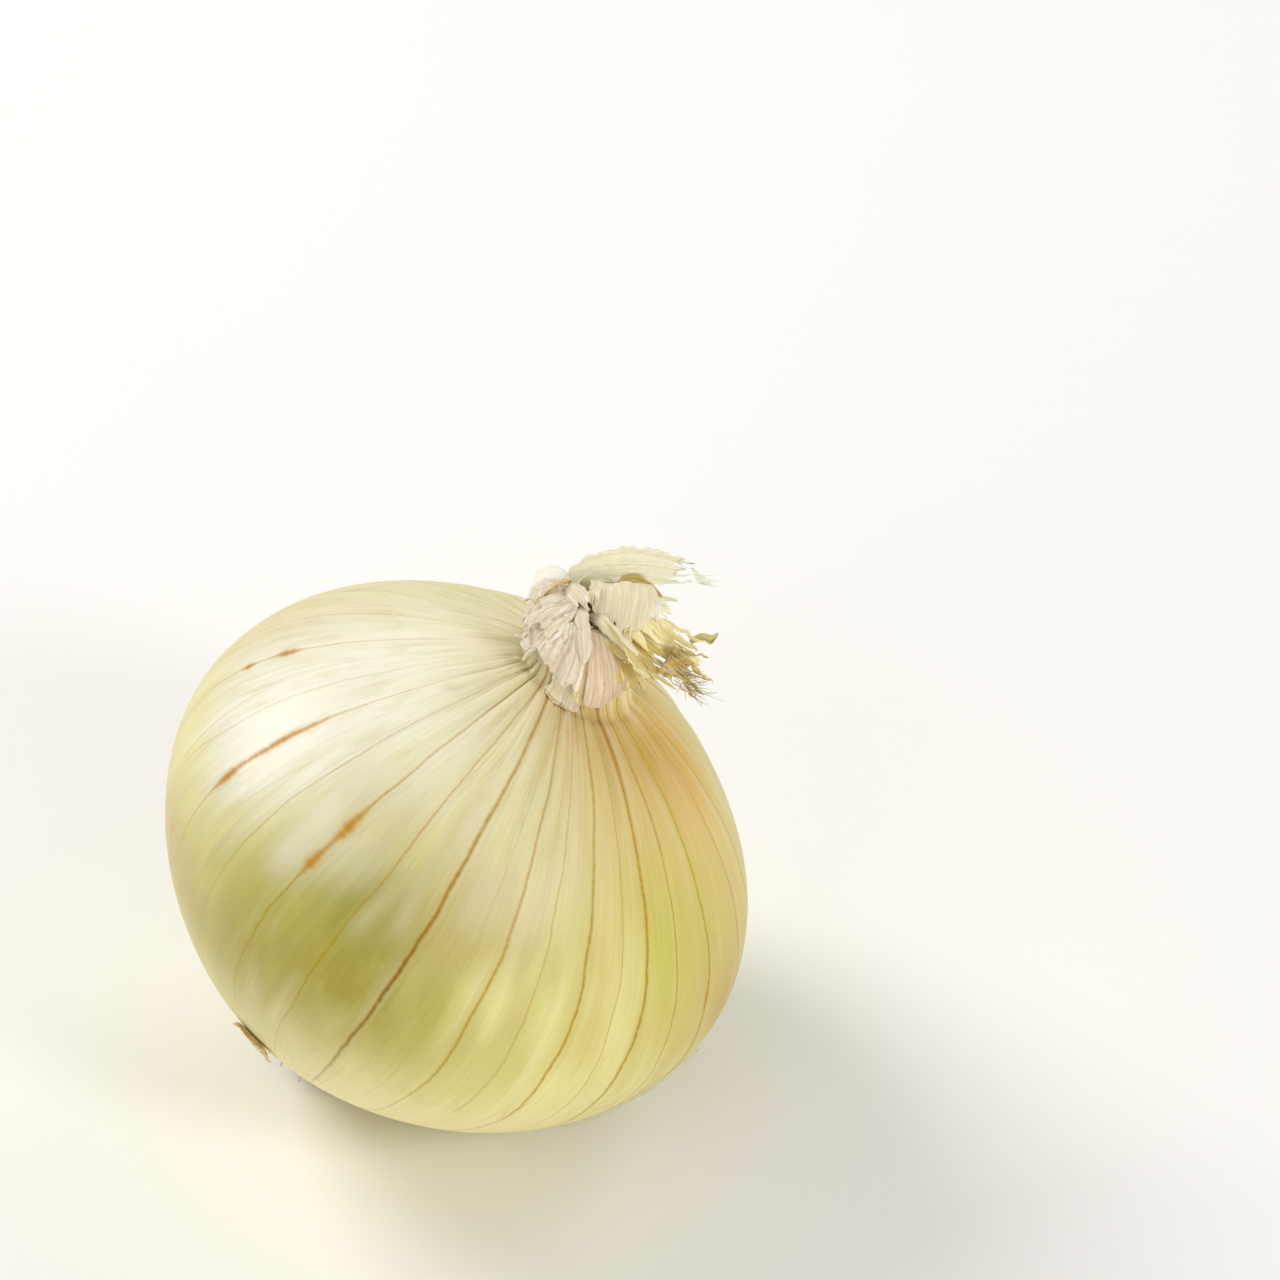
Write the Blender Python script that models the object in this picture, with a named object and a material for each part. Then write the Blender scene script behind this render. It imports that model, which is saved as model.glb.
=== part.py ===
"""A sweet onion that leans on a small flat spot beside its root plate.

The bulb is one solid: it is turned about its own axis, swollen into slight lobes, leaned over
and cut flat where it rests. The dried neck leaves, the loose bits of outer skin and the root
tuft are thin solids of their own, each one a named gap away from the bulb.
"""
import math

import bmesh
import bpy
from mathutils import Matrix, Vector
from mathutils.geometry import interpolate_bezier

MM = 0.001

# Bulb, measured along its own axis from the root plate
GIRTH_RADIUS = 43.2 * MM
GIRTH_HEIGHT = 39.7 * MM
FOOT_HEIGHT = 76.5 * MM
FOOT_RADIUS = 9.4 * MM
ROOT_RADIUS = 7.0 * MM
ROOT_FLARE = 1.9 * MM
LOWER_PULL = 21.7 * MM
UPPER_PULL = 19.1 * MM
SHOULDER_RUN = 8.6 * MM
SHOULDER_DROP = 3.5 * MM
LOBES = 5
LOBE_DEPTH = 0.25 * MM
LOBE_PHASE = 0.6

# Neck stump on top of the shoulder
NECK_RADIUS = 4.6 * MM
NECK_RISE = 9.0 * MM
NECK_DOME = 1.0 * MM
NECK_BEND = 3.6 * MM
BEND_START = 70.0 * MM

# Rest pose
LEAN = math.radians(29.2)
FLAT_DEPTH = 1.1 * MM

# Thin pieces
GAP = 0.35 * MM
LEAF_THICKNESS = 0.6 * MM
SKIN_THICKNESS = 0.4 * MM
TUFT_HEIGHT = 1.6 * MM
TUFT_MARGIN = 0.8 * MM

# Mesh density
RINGS = 15
SEGMENTS = 56
SPAN_STEPS = 5
LEAF_COLUMNS = 6

# Azimuths are in degrees about the bulb's axis, counted from this one
FACING = math.radians(-111.4)
COLLAR_AZIMUTHS = (-215, 10)
COLLAR_SPREAD = 1.8 * MM
COLLAR_RISE = 7.5 * MM
FLAP_AZIMUTHS = (18, 70)
FLAP_SPREAD = 6.5 * MM
FLAP_RISE = 8.5 * MM
SHEATH_ROOM = 1.6 * MM

# Loose skin: azimuths, then distances down from the neck's foot and lifts at both ends, in mm
HEM_FILM = ((-46, 14), (2.8, 5.6), (0.0, 0.2))
SKIN_SCRAP = ((-26, -8), (82.0, 92.0), (0.2, 1.2))
SKIN_FILM = ((58, 90), (46.0, 74.0), (0.2, 0.7))

# Blades that leave the neck: route in mm from its tip, widths in mm, the way each width runs, bow
LEAF_STRIP = (
    [(-1.0, 3.4, 1.4), (0.0, 4.4, 2.9), (2.5, 5.0, 4.2), (6.6, 4.6, 5.3), (11.4, 3.6, 5.2),
     (15.0, 2.6, 4.6)],
    (2.6, 3.8, 5.4, 5.6, 4.4, 2.6), (0.05, 0.35, 0.95), 0.15,
)
WHITE_CURL = (
    [(-9.2, 2.2, 1.4), (-8.2, 4.4, 2.8), (-5.8, 6.4, 3.6), (-3.4, 7.2, 3.2)],
    (3.6, 4.8, 4.6, 3.2), (-0.45, 0.1, 0.85), 0.35,
)
SQUARE_FLAP = (
    [(4.2, -1.2, 5.6), (5.2, -1.8, 3.4), (6.0, -2.0, 1.0), (6.3, -1.8, -0.4)],
    (2.6, 4.2, 4.4, 3.0), (0.9, 0.25, -0.2), 0.2,
)
PALE_FLAP = (
    [(5.4, 2.4, 1.6), (8.0, 2.8, 1.0), (11.0, 2.8, 0.2)],
    (1.8, 2.6, 2.2), (0.0, 0.4, 0.9), 0.15,
)
TWISTED_LEAF = (
    [(-0.5, -3.6, 2.8), (2.3, -4.6, 1.5), (5.0, -5.4, -1.6), (7.9, -6.0, -6.0)],
    (2.0, 3.4, 3.0, 1.2), (0.6, -0.2, 0.75), 0.45,
)
FIBRE_FAN = (
    [(5.6, 0.4, -1.4), (8.0, 0.0, -3.6), (11.2, -0.6, -6.0), (14.0, -1.2, -8.2)],
    (4.6, 6.6, 7.2, 5.4), (0.55, 0.55, 0.62), 0.15,
)
BROWN_TIPS = (
    [(10.6, -4.4, -7.4), (12.0, -4.8, -8.8), (13.6, -4.8, -10.4)],
    (2.4, 3.6, 2.4), (0.6, 0.4, 0.7), 0.3,
)
LEAF_BIT = (
    [(11.6, 3.0, -3.6), (14.0, 3.2, -4.2), (16.4, 3.0, -4.0)],
    (0.9, 1.5, 0.9), (0.1, 0.5, 0.85), 0.3,
)


def material(name, colour, roughness):
    """A plain dielectric material."""
    made = bpy.data.materials.new(name)
    made.use_nodes = True
    shader = made.node_tree.nodes["Principled BSDF"]
    shader.inputs["Base Color"].default_value = (*colour, 1.0)
    shader.inputs["Roughness"].default_value = roughness
    shader.inputs["Metallic"].default_value = 0.0
    return made


def add_object(name, bm, surface):
    """Puts the mesh in the scene under its own name, smooth shaded."""
    bmesh.ops.recalc_face_normals(bm, faces=bm.faces)
    mesh = bpy.data.meshes.new(name)
    bm.to_mesh(mesh)
    bm.free()
    mesh.materials.append(surface)
    mesh.shade_smooth()
    mesh.set_sharp_from_angle(angle=math.radians(40))
    made = bpy.data.objects.new(name, mesh)
    bpy.context.scene.collection.objects.link(made)
    return made


def skin_outline():
    """The side of the bulb from the root plate's rim to the foot of the neck, as (radius, 0, height)."""
    root = Vector((ROOT_RADIUS, 0, 0))
    girth = Vector((GIRTH_RADIUS, 0, GIRTH_HEIGHT))
    foot = Vector((FOOT_RADIUS, 0, FOOT_HEIGHT))
    lower = interpolate_bezier(
        root, root + Vector((ROOT_FLARE, 0, 0)), girth - Vector((0, 0, LOWER_PULL)), girth, RINGS
    )
    shoulder = foot + Vector((SHOULDER_RUN, 0, -SHOULDER_DROP))
    upper = interpolate_bezier(girth, girth + Vector((0, 0, UPPER_PULL)), shoulder, foot, RINGS)
    return lower + upper[1:]


def neck_outline():
    """The neck from its foot to the middle of its domed tip."""
    foot = Vector((FOOT_RADIUS, 0, FOOT_HEIGHT))
    rim = Vector((NECK_RADIUS, 0, FOOT_HEIGHT + NECK_RISE))
    inward = Vector((NECK_RADIUS - FOOT_RADIUS, 0, 0))
    side = interpolate_bezier(foot, foot + inward * 0.7, rim - Vector((0, 0, NECK_RISE * 0.7)), rim, 7)
    tip = Vector((0, 0, rim.z + NECK_DOME))
    dome = interpolate_bezier(rim, rim + Vector((0, 0, NECK_DOME)), tip + Vector((rim.x / 2, 0, 0)), tip, 5)
    return side[1:] + dome[1:]


def grown(point):
    """A point of the turned shape with the lobes and the neck's bend put in."""
    height = point.z
    tip_height = FOOT_HEIGHT + NECK_RISE
    swell = math.sin(math.pi * min(max(height / tip_height, 0), 1))
    azimuth = math.atan2(point.y, point.x)
    lobe = LOBE_DEPTH / GIRTH_RADIUS * swell * math.cos(LOBES * azimuth + LOBE_PHASE)
    bend = NECK_BEND * (max(height - BEND_START, 0) / (tip_height - BEND_START)) ** 2
    return Vector((point.x * (1 + lobe) - bend, point.y * (1 + lobe), height))


def rest_pose():
    """Leans the bulb over +X, with its lowest point over the origin and sunk by the flat's depth."""
    turn = Matrix.Rotation(LEAN, 4, "Y")
    lowest = min((turn @ Vector((point.x, 0, point.z)) for point in skin_outline()), key=lambda p: p.z)
    return Matrix.Translation((-lowest.x, 0, -lowest.z - FLAT_DEPTH)) @ turn


def cut_by_floor(bm, height):
    """Removes what lies under the given height and closes the cut with one flat face."""
    parts = bm.verts[:] + bm.edges[:] + bm.faces[:]
    cut = bmesh.ops.bisect_plane(
        bm, geom=parts, dist=1e-6, plane_co=(0, 0, height), plane_no=(0, 0, -1), clear_outer=True
    )
    rim = [item for item in cut["geom_cut"] if isinstance(item, bmesh.types.BMEdge)]
    if rim:
        bmesh.ops.contextual_create(bm, geom=rim)


def turned(outline, steps):
    """A closed body turned about the Z axis from an outline that starts and ends on it."""
    bm = bmesh.new()
    verts = [bm.verts.new(point) for point in outline]
    edges = [bm.edges.new(pair) for pair in zip(verts, verts[1:])]
    bmesh.ops.spin(bm, geom=verts + edges, axis=(0, 0, 1), cent=(0, 0, 0), angle=math.tau, steps=steps)
    bmesh.ops.remove_doubles(bm, verts=bm.verts, dist=1e-6)
    return bm


def bulb(pose, surface):
    """The whole bulb with its shoulder and neck stump."""
    bm = turned([Vector((0, 0, 0))] + skin_outline() + neck_outline(), SEGMENTS)
    for vert in bm.verts:
        vert.co = pose @ grown(vert.co)
    cut_by_floor(bm, 0)
    return add_object("bulb", bm, surface)


def root_tuft(pose, surface):
    """The flattened mat of dry rootlets under the root plate."""
    radius = ROOT_RADIUS - TUFT_MARGIN
    top = -GAP
    bottom = top - TUFT_HEIGHT
    outline = [Vector((0, 0, bottom)), Vector((radius * 0.55, 0, bottom)), Vector((radius, 0, bottom * 0.6))]
    outline += [Vector((radius, 0, top)), Vector((0, 0, top))]
    bm = turned(outline, 24)
    for vert in bm.verts:
        spread = 1 + 0.08 * math.sin(9 * math.atan2(vert.co.y, vert.co.x))
        vert.co = pose @ Vector((vert.co.x * spread, vert.co.y * spread, vert.co.z))
    cut_by_floor(bm, GAP)
    return add_object("root_tuft", bm, surface)


def solid_sheet(name, rows, thickness, surface):
    """A thin closed solid around a grid of points."""
    bm = bmesh.new()
    grid = [[bm.verts.new(point) for point in row] for row in rows]
    for low, high in zip(grid, grid[1:]):
        for column in range(len(low) - 1):
            bm.faces.new((low[column], low[column + 1], high[column + 1], high[column]))
    made = add_object(name, bm, surface)
    solid = made.modifiers.new("thickness", "SOLIDIFY")
    solid.thickness = thickness
    solid.offset = 0
    return made


def smooth_route(points):
    """Points along a smooth curve that passes through the given ones."""
    ends = [points[0] * 2 - points[1]] + points + [points[-1] * 2 - points[-2]]
    route = []
    for before, start, end, after in zip(ends, ends[1:], ends[2:], ends[3:]):
        out_handle = start + (end - before) / 6
        in_handle = end - (after - start) / 6
        route += interpolate_bezier(start, out_handle, in_handle, end, SPAN_STEPS + 1)[:-1]
    return route + [points[-1]]


def leaf(name, root, blade, surface):
    """A leaf blade: its midrib runs through the route and its width follows the given direction."""
    route, widths, across, bow = blade
    points = smooth_route([root + Vector(point) * MM for point in route])
    sizes = smooth_route([Vector((width * MM, 0, 0)) for width in widths])
    rows = []
    for index, point in enumerate(points):
        along = points[min(index + 1, len(points) - 1)] - points[max(index - 1, 0)]
        along.normalize()
        side = (Vector(across) - along * along.dot(Vector(across))).normalized()
        face = along.cross(side)
        half = sizes[index].x / 2
        row = []
        for column in range(LEAF_COLUMNS + 1):
            share = 2 * column / LEAF_COLUMNS - 1
            row.append(point + side * half * share + face * half * bow * (1 - share * share))
        rows.append(row)
    return solid_sheet(name, rows, LEAF_THICKNESS, surface)


def skin_point(outline, distance, azimuth, height):
    """A point at some height over the skin, at a distance down the outline from the neck's foot."""
    index = len(outline) - 1
    while index > 1 and distance > (outline[index] - outline[index - 1]).length:
        distance -= (outline[index] - outline[index - 1]).length
        index -= 1
    step = outline[index - 1] - outline[index]
    place = outline[index] + step.normalized() * distance
    outward = Vector((-step.z, 0, step.x)).normalized()
    place += outward * height
    turn = Matrix.Rotation(FACING + math.radians(azimuth), 3, "Z")
    return grown(turn @ place)


def skin_patch(name, pose, patch, thickness, surface):
    """A sheet that lies over the skin and lifts away towards its lower edge."""
    azimuths, distances, lifts = patch
    outline = skin_outline()
    low, high = azimuths
    columns = max(4, round((high - low) / 5))
    rows = []
    for step in range(LEAF_COLUMNS + 1):
        share = step / LEAF_COLUMNS
        distance = (distances[0] + (distances[1] - distances[0]) * share) * MM
        height = GAP + thickness / 2 + (lifts[0] + (lifts[1] - lifts[0]) * share * share) * MM
        angles = [low + (high - low) * column / columns for column in range(columns + 1)]
        rows.append([pose @ skin_point(outline, distance, angle, height) for angle in angles])
    return solid_sheet(name, rows, thickness, surface)


def sheath(name, pose, azimuths, spread, room, rise, surface):
    """A dry sheath between two azimuths: it stands round the neck and spreads over the shoulder."""
    outline = skin_outline()
    low, high = azimuths
    columns = max(6, round((high - low) / 8))
    rows = []
    for step in range(LEAF_COLUMNS + 1):
        share = step / LEAF_COLUMNS
        row = []
        for column in range(columns + 1):
            angle = low + (high - low) * column / columns
            hem = skin_point(outline, spread, angle, GAP + LEAF_THICKNESS)
            fold = skin_point(outline, 0, angle, room)
            turn = Matrix.Rotation(FACING + math.radians(angle), 3, "Z")
            rim = grown(turn @ Vector((NECK_RADIUS + room, 0, FOOT_HEIGHT + rise)))
            row.append(pose @ hem.lerp(fold, share).lerp(fold.lerp(rim, share), share))
        rows.append(row)
    return solid_sheet(name, rows, LEAF_THICKNESS, surface)


def neck_leaves(root, straw, white, green, brown):
    """The dry blades that leave the neck's tip."""
    leaf("leaf_strip", root, LEAF_STRIP, straw)
    leaf("white_curl", root, WHITE_CURL, white)
    leaf("square_flap", root, SQUARE_FLAP, white)
    leaf("pale_flap", root, PALE_FLAP, white)
    leaf("twisted_leaf", root, TWISTED_LEAF, green)
    leaf("fibre_fan", root, FIBRE_FAN, straw)
    leaf("brown_tips", root, BROWN_TIPS, brown)
    leaf("leaf_bit", root, LEAF_BIT, green)


def build():
    """Makes every piece in its resting place."""
    cream = material("onion_skin", (0.74, 0.70, 0.42), 0.35)
    straw = material("straw_leaf", (0.78, 0.72, 0.42), 0.6)
    white = material("papery_leaf", (0.86, 0.82, 0.72), 0.55)
    pink = material("pink_papery_leaf", (0.80, 0.68, 0.58), 0.55)
    green = material("green_dry_leaf", (0.62, 0.58, 0.22), 0.6)
    brown = material("brown_leaf_tip", (0.36, 0.26, 0.10), 0.8)
    tan = material("dry_outer_skin", (0.66, 0.44, 0.18), 0.45)
    root = material("rootlets", (0.50, 0.38, 0.22), 0.9)
    pose = rest_pose()
    tip = pose @ grown(Vector((0, 0, FOOT_HEIGHT + NECK_RISE + NECK_DOME)))
    bulb(pose, cream)
    root_tuft(pose, root)
    sheath("neck_collar", pose, COLLAR_AZIMUTHS, COLLAR_SPREAD, SHEATH_ROOM, COLLAR_RISE, pink)
    sheath("shoulder_flap", pose, FLAP_AZIMUTHS, FLAP_SPREAD, SHEATH_ROOM, FLAP_RISE, pink)
    skin_patch("hem_film", pose, HEM_FILM, SKIN_THICKNESS, white)
    skin_patch("skin_scrap", pose, SKIN_SCRAP, SKIN_THICKNESS, tan)
    skin_patch("skin_film", pose, SKIN_FILM, SKIN_THICKNESS, white)
    neck_leaves(tip, straw, white, green, brown)


for leftover in list(bpy.data.objects):
    bpy.data.objects.remove(leftover)
build()
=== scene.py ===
import math
import random
from functools import partial

import bpy
import numpy as np
from mathutils import Matrix, Vector, noise


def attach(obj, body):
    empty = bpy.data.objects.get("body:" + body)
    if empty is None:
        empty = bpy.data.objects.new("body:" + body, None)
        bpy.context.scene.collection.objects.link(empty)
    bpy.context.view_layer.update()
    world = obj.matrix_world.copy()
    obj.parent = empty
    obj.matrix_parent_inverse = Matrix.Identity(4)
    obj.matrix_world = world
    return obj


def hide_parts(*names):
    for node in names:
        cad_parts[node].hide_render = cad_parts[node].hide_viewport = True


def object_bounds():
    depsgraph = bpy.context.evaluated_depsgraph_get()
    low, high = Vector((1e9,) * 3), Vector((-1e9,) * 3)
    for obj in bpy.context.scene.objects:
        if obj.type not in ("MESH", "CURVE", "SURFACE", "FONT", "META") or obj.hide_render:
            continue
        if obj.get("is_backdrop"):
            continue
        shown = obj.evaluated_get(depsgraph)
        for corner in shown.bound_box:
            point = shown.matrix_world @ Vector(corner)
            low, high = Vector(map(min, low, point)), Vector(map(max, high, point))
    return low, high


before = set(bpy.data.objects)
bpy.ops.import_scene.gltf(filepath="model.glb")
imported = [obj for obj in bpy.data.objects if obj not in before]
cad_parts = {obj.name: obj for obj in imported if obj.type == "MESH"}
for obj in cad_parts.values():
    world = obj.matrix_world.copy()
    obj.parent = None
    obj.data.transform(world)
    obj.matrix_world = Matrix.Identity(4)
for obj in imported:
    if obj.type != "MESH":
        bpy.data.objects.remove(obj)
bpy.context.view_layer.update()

mm = 0.001

# ---- small helpers

def linear(code, alpha=1.0):
    parts = [int(code[i:i + 2], 16) / 255 for i in (1, 3, 5)]
    return tuple(c / 12.92 if c <= 0.04045 else ((c + 0.055) / 1.055) ** 2.4 for c in parts) + (alpha,)


def firstOutput(node):
    return next(socket for socket in node.outputs if socket.enabled)


def addNode(tree, kind, inputs=(), **settings):
    # inputs: a dictionary of sockets, or a list in the sockets' order; a node stands for its first output
    node = tree.nodes.new("ShaderNode" + kind)
    for name, value in settings.items():
        setattr(node, name, value)
    for name, value in inputs.items() if isinstance(inputs, dict) else enumerate(inputs):
        if isinstance(value, bpy.types.Node):
            value = firstOutput(value)
        if isinstance(value, bpy.types.NodeSocket):
            tree.links.new(value, node.inputs[name])
        else:
            node.inputs[name].default_value = value
    return node


def newMaterial(name):
    made = bpy.data.materials.new(name)
    made.use_nodes = True
    return made, partial(addNode, made.node_tree)


def finishMaterial(made, patterns, finish):
    # patterns: what is linked to the shader's sockets; finish: the values that are the same all over
    shader = made.node_tree.nodes["Principled BSDF"]
    for name, node in patterns.items():
        made.node_tree.links.new(firstOutput(node), shader.inputs[name])
    for name, value in finish.items():
        shader.inputs[name].default_value = value
    return made


def deselectAll():
    if bpy.context.object and bpy.context.object.mode != "OBJECT":
        bpy.ops.object.mode_set(mode="OBJECT")
    bpy.ops.object.select_all(action="DESELECT")


def smoothStep(low, high, value):
    share = np.clip((np.asarray(value, float) - low) / (high - low), 0, 1)
    return share * share * (3 - 2 * share)


def activate(piece):
    deselectAll()
    piece.select_set(True)
    bpy.context.view_layer.objects.active = piece


def setMaterial(piece, material):
    piece.data.materials.clear()
    piece.data.materials.append(material)


def finishPiece(piece, slot, *nodes):
    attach(piece, "root")
    if nodes:
        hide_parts(*nodes)


# ---- the bulb's shape, in millimetres and degrees: the solid's own sizes, but for the neck, which is
# thicker because the solid leaves room for a collar there
bulbShape = dict(
    girthRadius=43.2, girthHeight=39.7, footRadius=9.4, footHeight=76.5,
    rootRadius=7.0, rootFlare=1.9, lowerPull=21.7, upperPull=19.1, shoulderRun=8.6, shoulderDrop=3.5,
    neckRadius=7.0, neckRise=7.4, neckDome=1.0, neckBend=3.6, bendStart=70.0,
    lobes=5, lobeDepth=0.25, lobePhase=0.6,
    lean=29.2, flatDepth=1.1, facing=-111.4,
    columns=384, stretchSteps=40,
    pleatDepth=0.34, broadPleat=0.22, finePleat=0.45, dentDepth=0.22,
)

# the veins run towards a point beside the axis, because the neck bent over as it dried
veinDrift = dict(start=80.0, reach=40.0, shift=2.7, power=0.8)
veinUnit = 12.0  # degrees for one step of the vein coordinate

tones = dict(
    brown="#8E6200", amber="#BA8C00", gold="#B09400", pink="#C89A58", olive="#B49C1C",
    lime="#B0A400", tan="#C29C48", orange="#C88C00",
)
# azimuth, width in mm, strength, tone near the neck, tone lower down
veins = [
    (-107, 0.34, 0.5, "tan", "tan"), (-91, 0.28, 0.35, "pink", "tan"), (-76, 0.3, 0.4, "pink", "tan"),
    (-59.5, 0.24, 0.25, "pink", "tan"), (-48.8, 0.34, 0.42, "pink", "tan"),
    (-35, 0.26, 0.35, "amber", "tan"), (-22.2, 0.34, 0.62, "amber", "gold"),
    (-9, 0.32, 0.66, "pink", "gold"), (4.3, 0.52, 0.95, "amber", "brown"),
    (14.6, 0.16, 0.3, "tan", "tan"), (20.5, 0.38, 0.82, "pink", "gold"), (30, 0.26, 0.55, "pink", "tan"),
    (40, 0.42, 0.85, "olive", "amber"), (49.5, 0.24, 0.52, "olive", "tan"),
    (56.6, 0.5, 0.95, "amber", "gold"), (67, 0.3, 0.66, "amber", "gold"),
    (79.4, 0.44, 0.9, "lime", "amber"), (96, 0.34, 0.6, "amber", "brown"),
]
backVeins = dict(
    step=(8.5, 15), lastGap=17, width=(0.22, 0.5), strength=(0.3, 0.9), seed=11,
    upper=["amber", "pink", "gold", "lime"], lower=["amber", "tan", "brown", "gold"],
)
# vein azimuth, middle and half length along the bulb in mm, width in mm
stains = [
    (-76, 82.0, 2.0, 1.5), (-76, 76.0, 1.3, 1.1), (-48.8, 80.0, 9.0, 0.9), (-48.8, 71.0, 3.6, 1.2),
    (-22.2, 81.5, 3.6, 1.5), (-22.2, 75.0, 2.8, 1.4), (79.4, 74.0, 2.6, 0.9),
]
# flesh colour all over, then towards the neck and the root: colour, and the mm where that starts and ends
fleshColours = dict(main="#DFD795", neck=("#E8DDB2", 96, 116), root=("#E2D48C", 40, 8))
# azimuth, distance from the root in mm, reach in mm across and along, colour, amount
tintAndPaintedLightPatches = [
    (-8, 74, 13, 11, "#8C880C", 0.95), (-2, 62, 20, 12, "#9A8C20", 0.85),
    (-24, 66, 12, 12, "#ADA33E", 0.75), (-20, 52, 14, 10, "#B09C4C", 0.65),
    # the near-white patches at -45, -62 and -86 are a painted highlight on the upper left of the bulb
    (10, 82, 7, 8, "#C4AA68", 0.6), (-45, 86, 20, 14, "#F7F4E6", 0.85),
    (-62, 98, 18, 12, "#F6F3E4", 0.75), (-86, 90, 18, 16, "#F2EEDA", 0.6),
    (-42, 53, 14, 9, "#B0A456", 0.55), (84, 84, 26, 18, "#BCA94C", 0.75), (60, 98, 7, 10, "#C6B04C", 0.6),
    (92, 74, 14, 12, "#B4984C", 0.5), (-20, 86, 10, 6, "#C0B476", 0.5), (20, 96, 12, 10, "#E6DDBE", 0.45),
    # the near-white patch at -56 is a painted highlight too, and the pale yellow patch at 30 low on the
    # front is painted light that lifts the shade under the bulb
    (-56, 76, 16, 9, "#F6F3E6", 0.75), (30, 38, 26, 14, "#FFF4BC", 0.95), (64, 84, 5, 8, "#BDBF45", 0.65),
    (83, 86, 6, 8, "#C3BE5E", 0.5), (106, 104, 15, 13, "#D6A24A", 0.9), (82, 110, 9, 8, "#BA8C1C", 0.85),
    (60, 104, 10, 8, "#DFCF9B", 0.35), (14, 68, 3, 8, "#AEAB48", 0.45), (30, 66, 4, 10, "#B2AD50", 0.4),
    (-55, 56, 14, 6, "#CDB387", 0.5), (5, 42, 30, 12, "#CFC48A", 0.45),
    (150, 80, 34, 20, "#E2CF8E", 0.55), (-150, 74, 26, 18, "#D2C27C", 0.5),
    (-175, 50, 30, 14, "#C8B56A", 0.5), (120, 56, 16, 16, "#BDB65A", 0.45),
    (94, 66, 6, 8, "#BC8A38", 0.6), (80, 50, 8, 6, "#C8A458", 0.5), (-98, 62, 10, 20, "#D2B984", 0.5),
    (165, 96, 22, 14, "#E4D6A0", 0.5), (-130, 60, 12, 22, "#C7BE72", 0.5),
    (135, 88, 9, 20, "#BFC062", 0.45),
]


def outlinePoints(shape):
    foot = Vector((shape["footRadius"], shape["footHeight"]))
    rim = Vector((shape["neckRadius"], shape["footHeight"] + shape["neckRise"]))
    tip = Vector((0, rim.y + shape["neckDome"]))
    girth = Vector((shape["girthRadius"], shape["girthHeight"]))
    root = Vector((shape["rootRadius"], 0))
    centre = Vector((0, 0))
    inward = Vector((rim.x - foot.x, 0)) * 0.7
    return [  # each point with its handle before and after it
        (centre, centre, centre + root * 0.4),
        (root, root * 0.6, root + Vector((shape["rootFlare"], 0))),
        (girth, girth - Vector((0, shape["lowerPull"])), girth + Vector((0, shape["upperPull"]))),
        (foot, foot + Vector((shape["shoulderRun"], -shape["shoulderDrop"])), foot + inward),
        (rim, rim - Vector((0, shape["neckRise"] * 0.7)), rim + Vector((0, shape["neckDome"]))),
        (tip, tip + Vector((rim.x / 2, 0)), tip),
    ]


def makeOutline(shape):
    deselectAll()
    bpy.ops.curve.primitive_bezier_curve_add(location=(0, 0, 0))
    curve = bpy.context.object
    spline = curve.data.splines[0]
    points = outlinePoints(shape)
    spline.bezier_points.add(len(points) - 2)
    for knot, (place, before, after) in zip(spline.bezier_points, points):
        knot.handle_left_type = knot.handle_right_type = "FREE"
        knot.co = (place.x * mm, 0, place.y * mm)
        knot.handle_left = (before.x * mm, 0, before.y * mm)
        knot.handle_right = (after.x * mm, 0, after.y * mm)
    curve.data.resolution_u = shape["stretchSteps"]
    bpy.ops.object.convert(target="MESH")
    return bpy.context.object


def outlineTable(outline):
    line = np.array([(v.co.x, v.co.z) for v in outline.data.vertices]) / mm
    if line[0, 1] > line[-1, 1]:
        line = line[::-1]
    side = line[np.argmax(line[:, 0] >= bulbShape["rootRadius"] - 1e-4):]
    steps = np.hypot(*np.diff(side, axis=0).T)
    return side[:, 0], side[:, 1], bulbShape["rootRadius"] + np.concatenate([[0], np.cumsum(steps)])


def restPose(shape, radii, heights):
    lean = math.radians(shape["lean"])
    low = heights * math.cos(lean) - radii * math.sin(lean)
    at = int(low.argmin())
    lowX = radii[at] * math.cos(lean) + heights[at] * math.sin(lean)
    shift = Matrix.Translation((-lowX * mm, 0, -(low[at] + shape["flatDepth"]) * mm))
    return shift @ Matrix.Rotation(lean, 4, "Y")


outline = makeOutline(bulbShape)
sideRadius, sideHeight, sideLength = outlineTable(outline)
pose = restPose(bulbShape, sideRadius, sideHeight)
footLength = float(np.interp(bulbShape["footHeight"], sideHeight, sideLength))


def grow(points):
    # lobes and the bend of the neck, on upright points in mm
    shape = bulbShape
    tipHeight = shape["footHeight"] + shape["neckRise"]
    height = points[:, 2]
    swell = np.sin(np.pi * np.clip(height / tipHeight, 0, 1))
    azimuth = np.arctan2(points[:, 1], points[:, 0])
    lobe = np.cos(shape["lobes"] * azimuth + shape["lobePhase"])
    lobe = 1 + shape["lobeDepth"] / shape["girthRadius"] * swell * lobe
    past = np.clip(height - shape["bendStart"], 0, None)
    bend = shape["neckBend"] * (past / (tipHeight - shape["bendStart"])) ** 2
    return np.stack([points[:, 0] * lobe - bend, points[:, 1] * lobe, height], 1)


def leaned(points):
    turn = np.array(pose)
    return points * mm @ turn[:3, :3].T + turn[:3, 3]


# ---- the bulb

def veinRow():
    # the veins of the side that shows, then the rest of the way round at uneven steps
    rng = random.Random(backVeins["seed"])
    row = [dict(at=a, width=w, strength=s, upper=up, lower=down) for a, w, s, up, down in veins]
    at = row[-1]["at"]
    while at < row[0]["at"] + 360 - backVeins["lastGap"]:
        at += rng.uniform(*backVeins["step"])
        row.append(dict(
            at=at, width=rng.uniform(*backVeins["width"]), strength=rng.uniform(*backVeins["strength"]),
            upper=rng.choice(backVeins["upper"]), lower=rng.choice(backVeins["lower"]),
        ))
    return row


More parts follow.
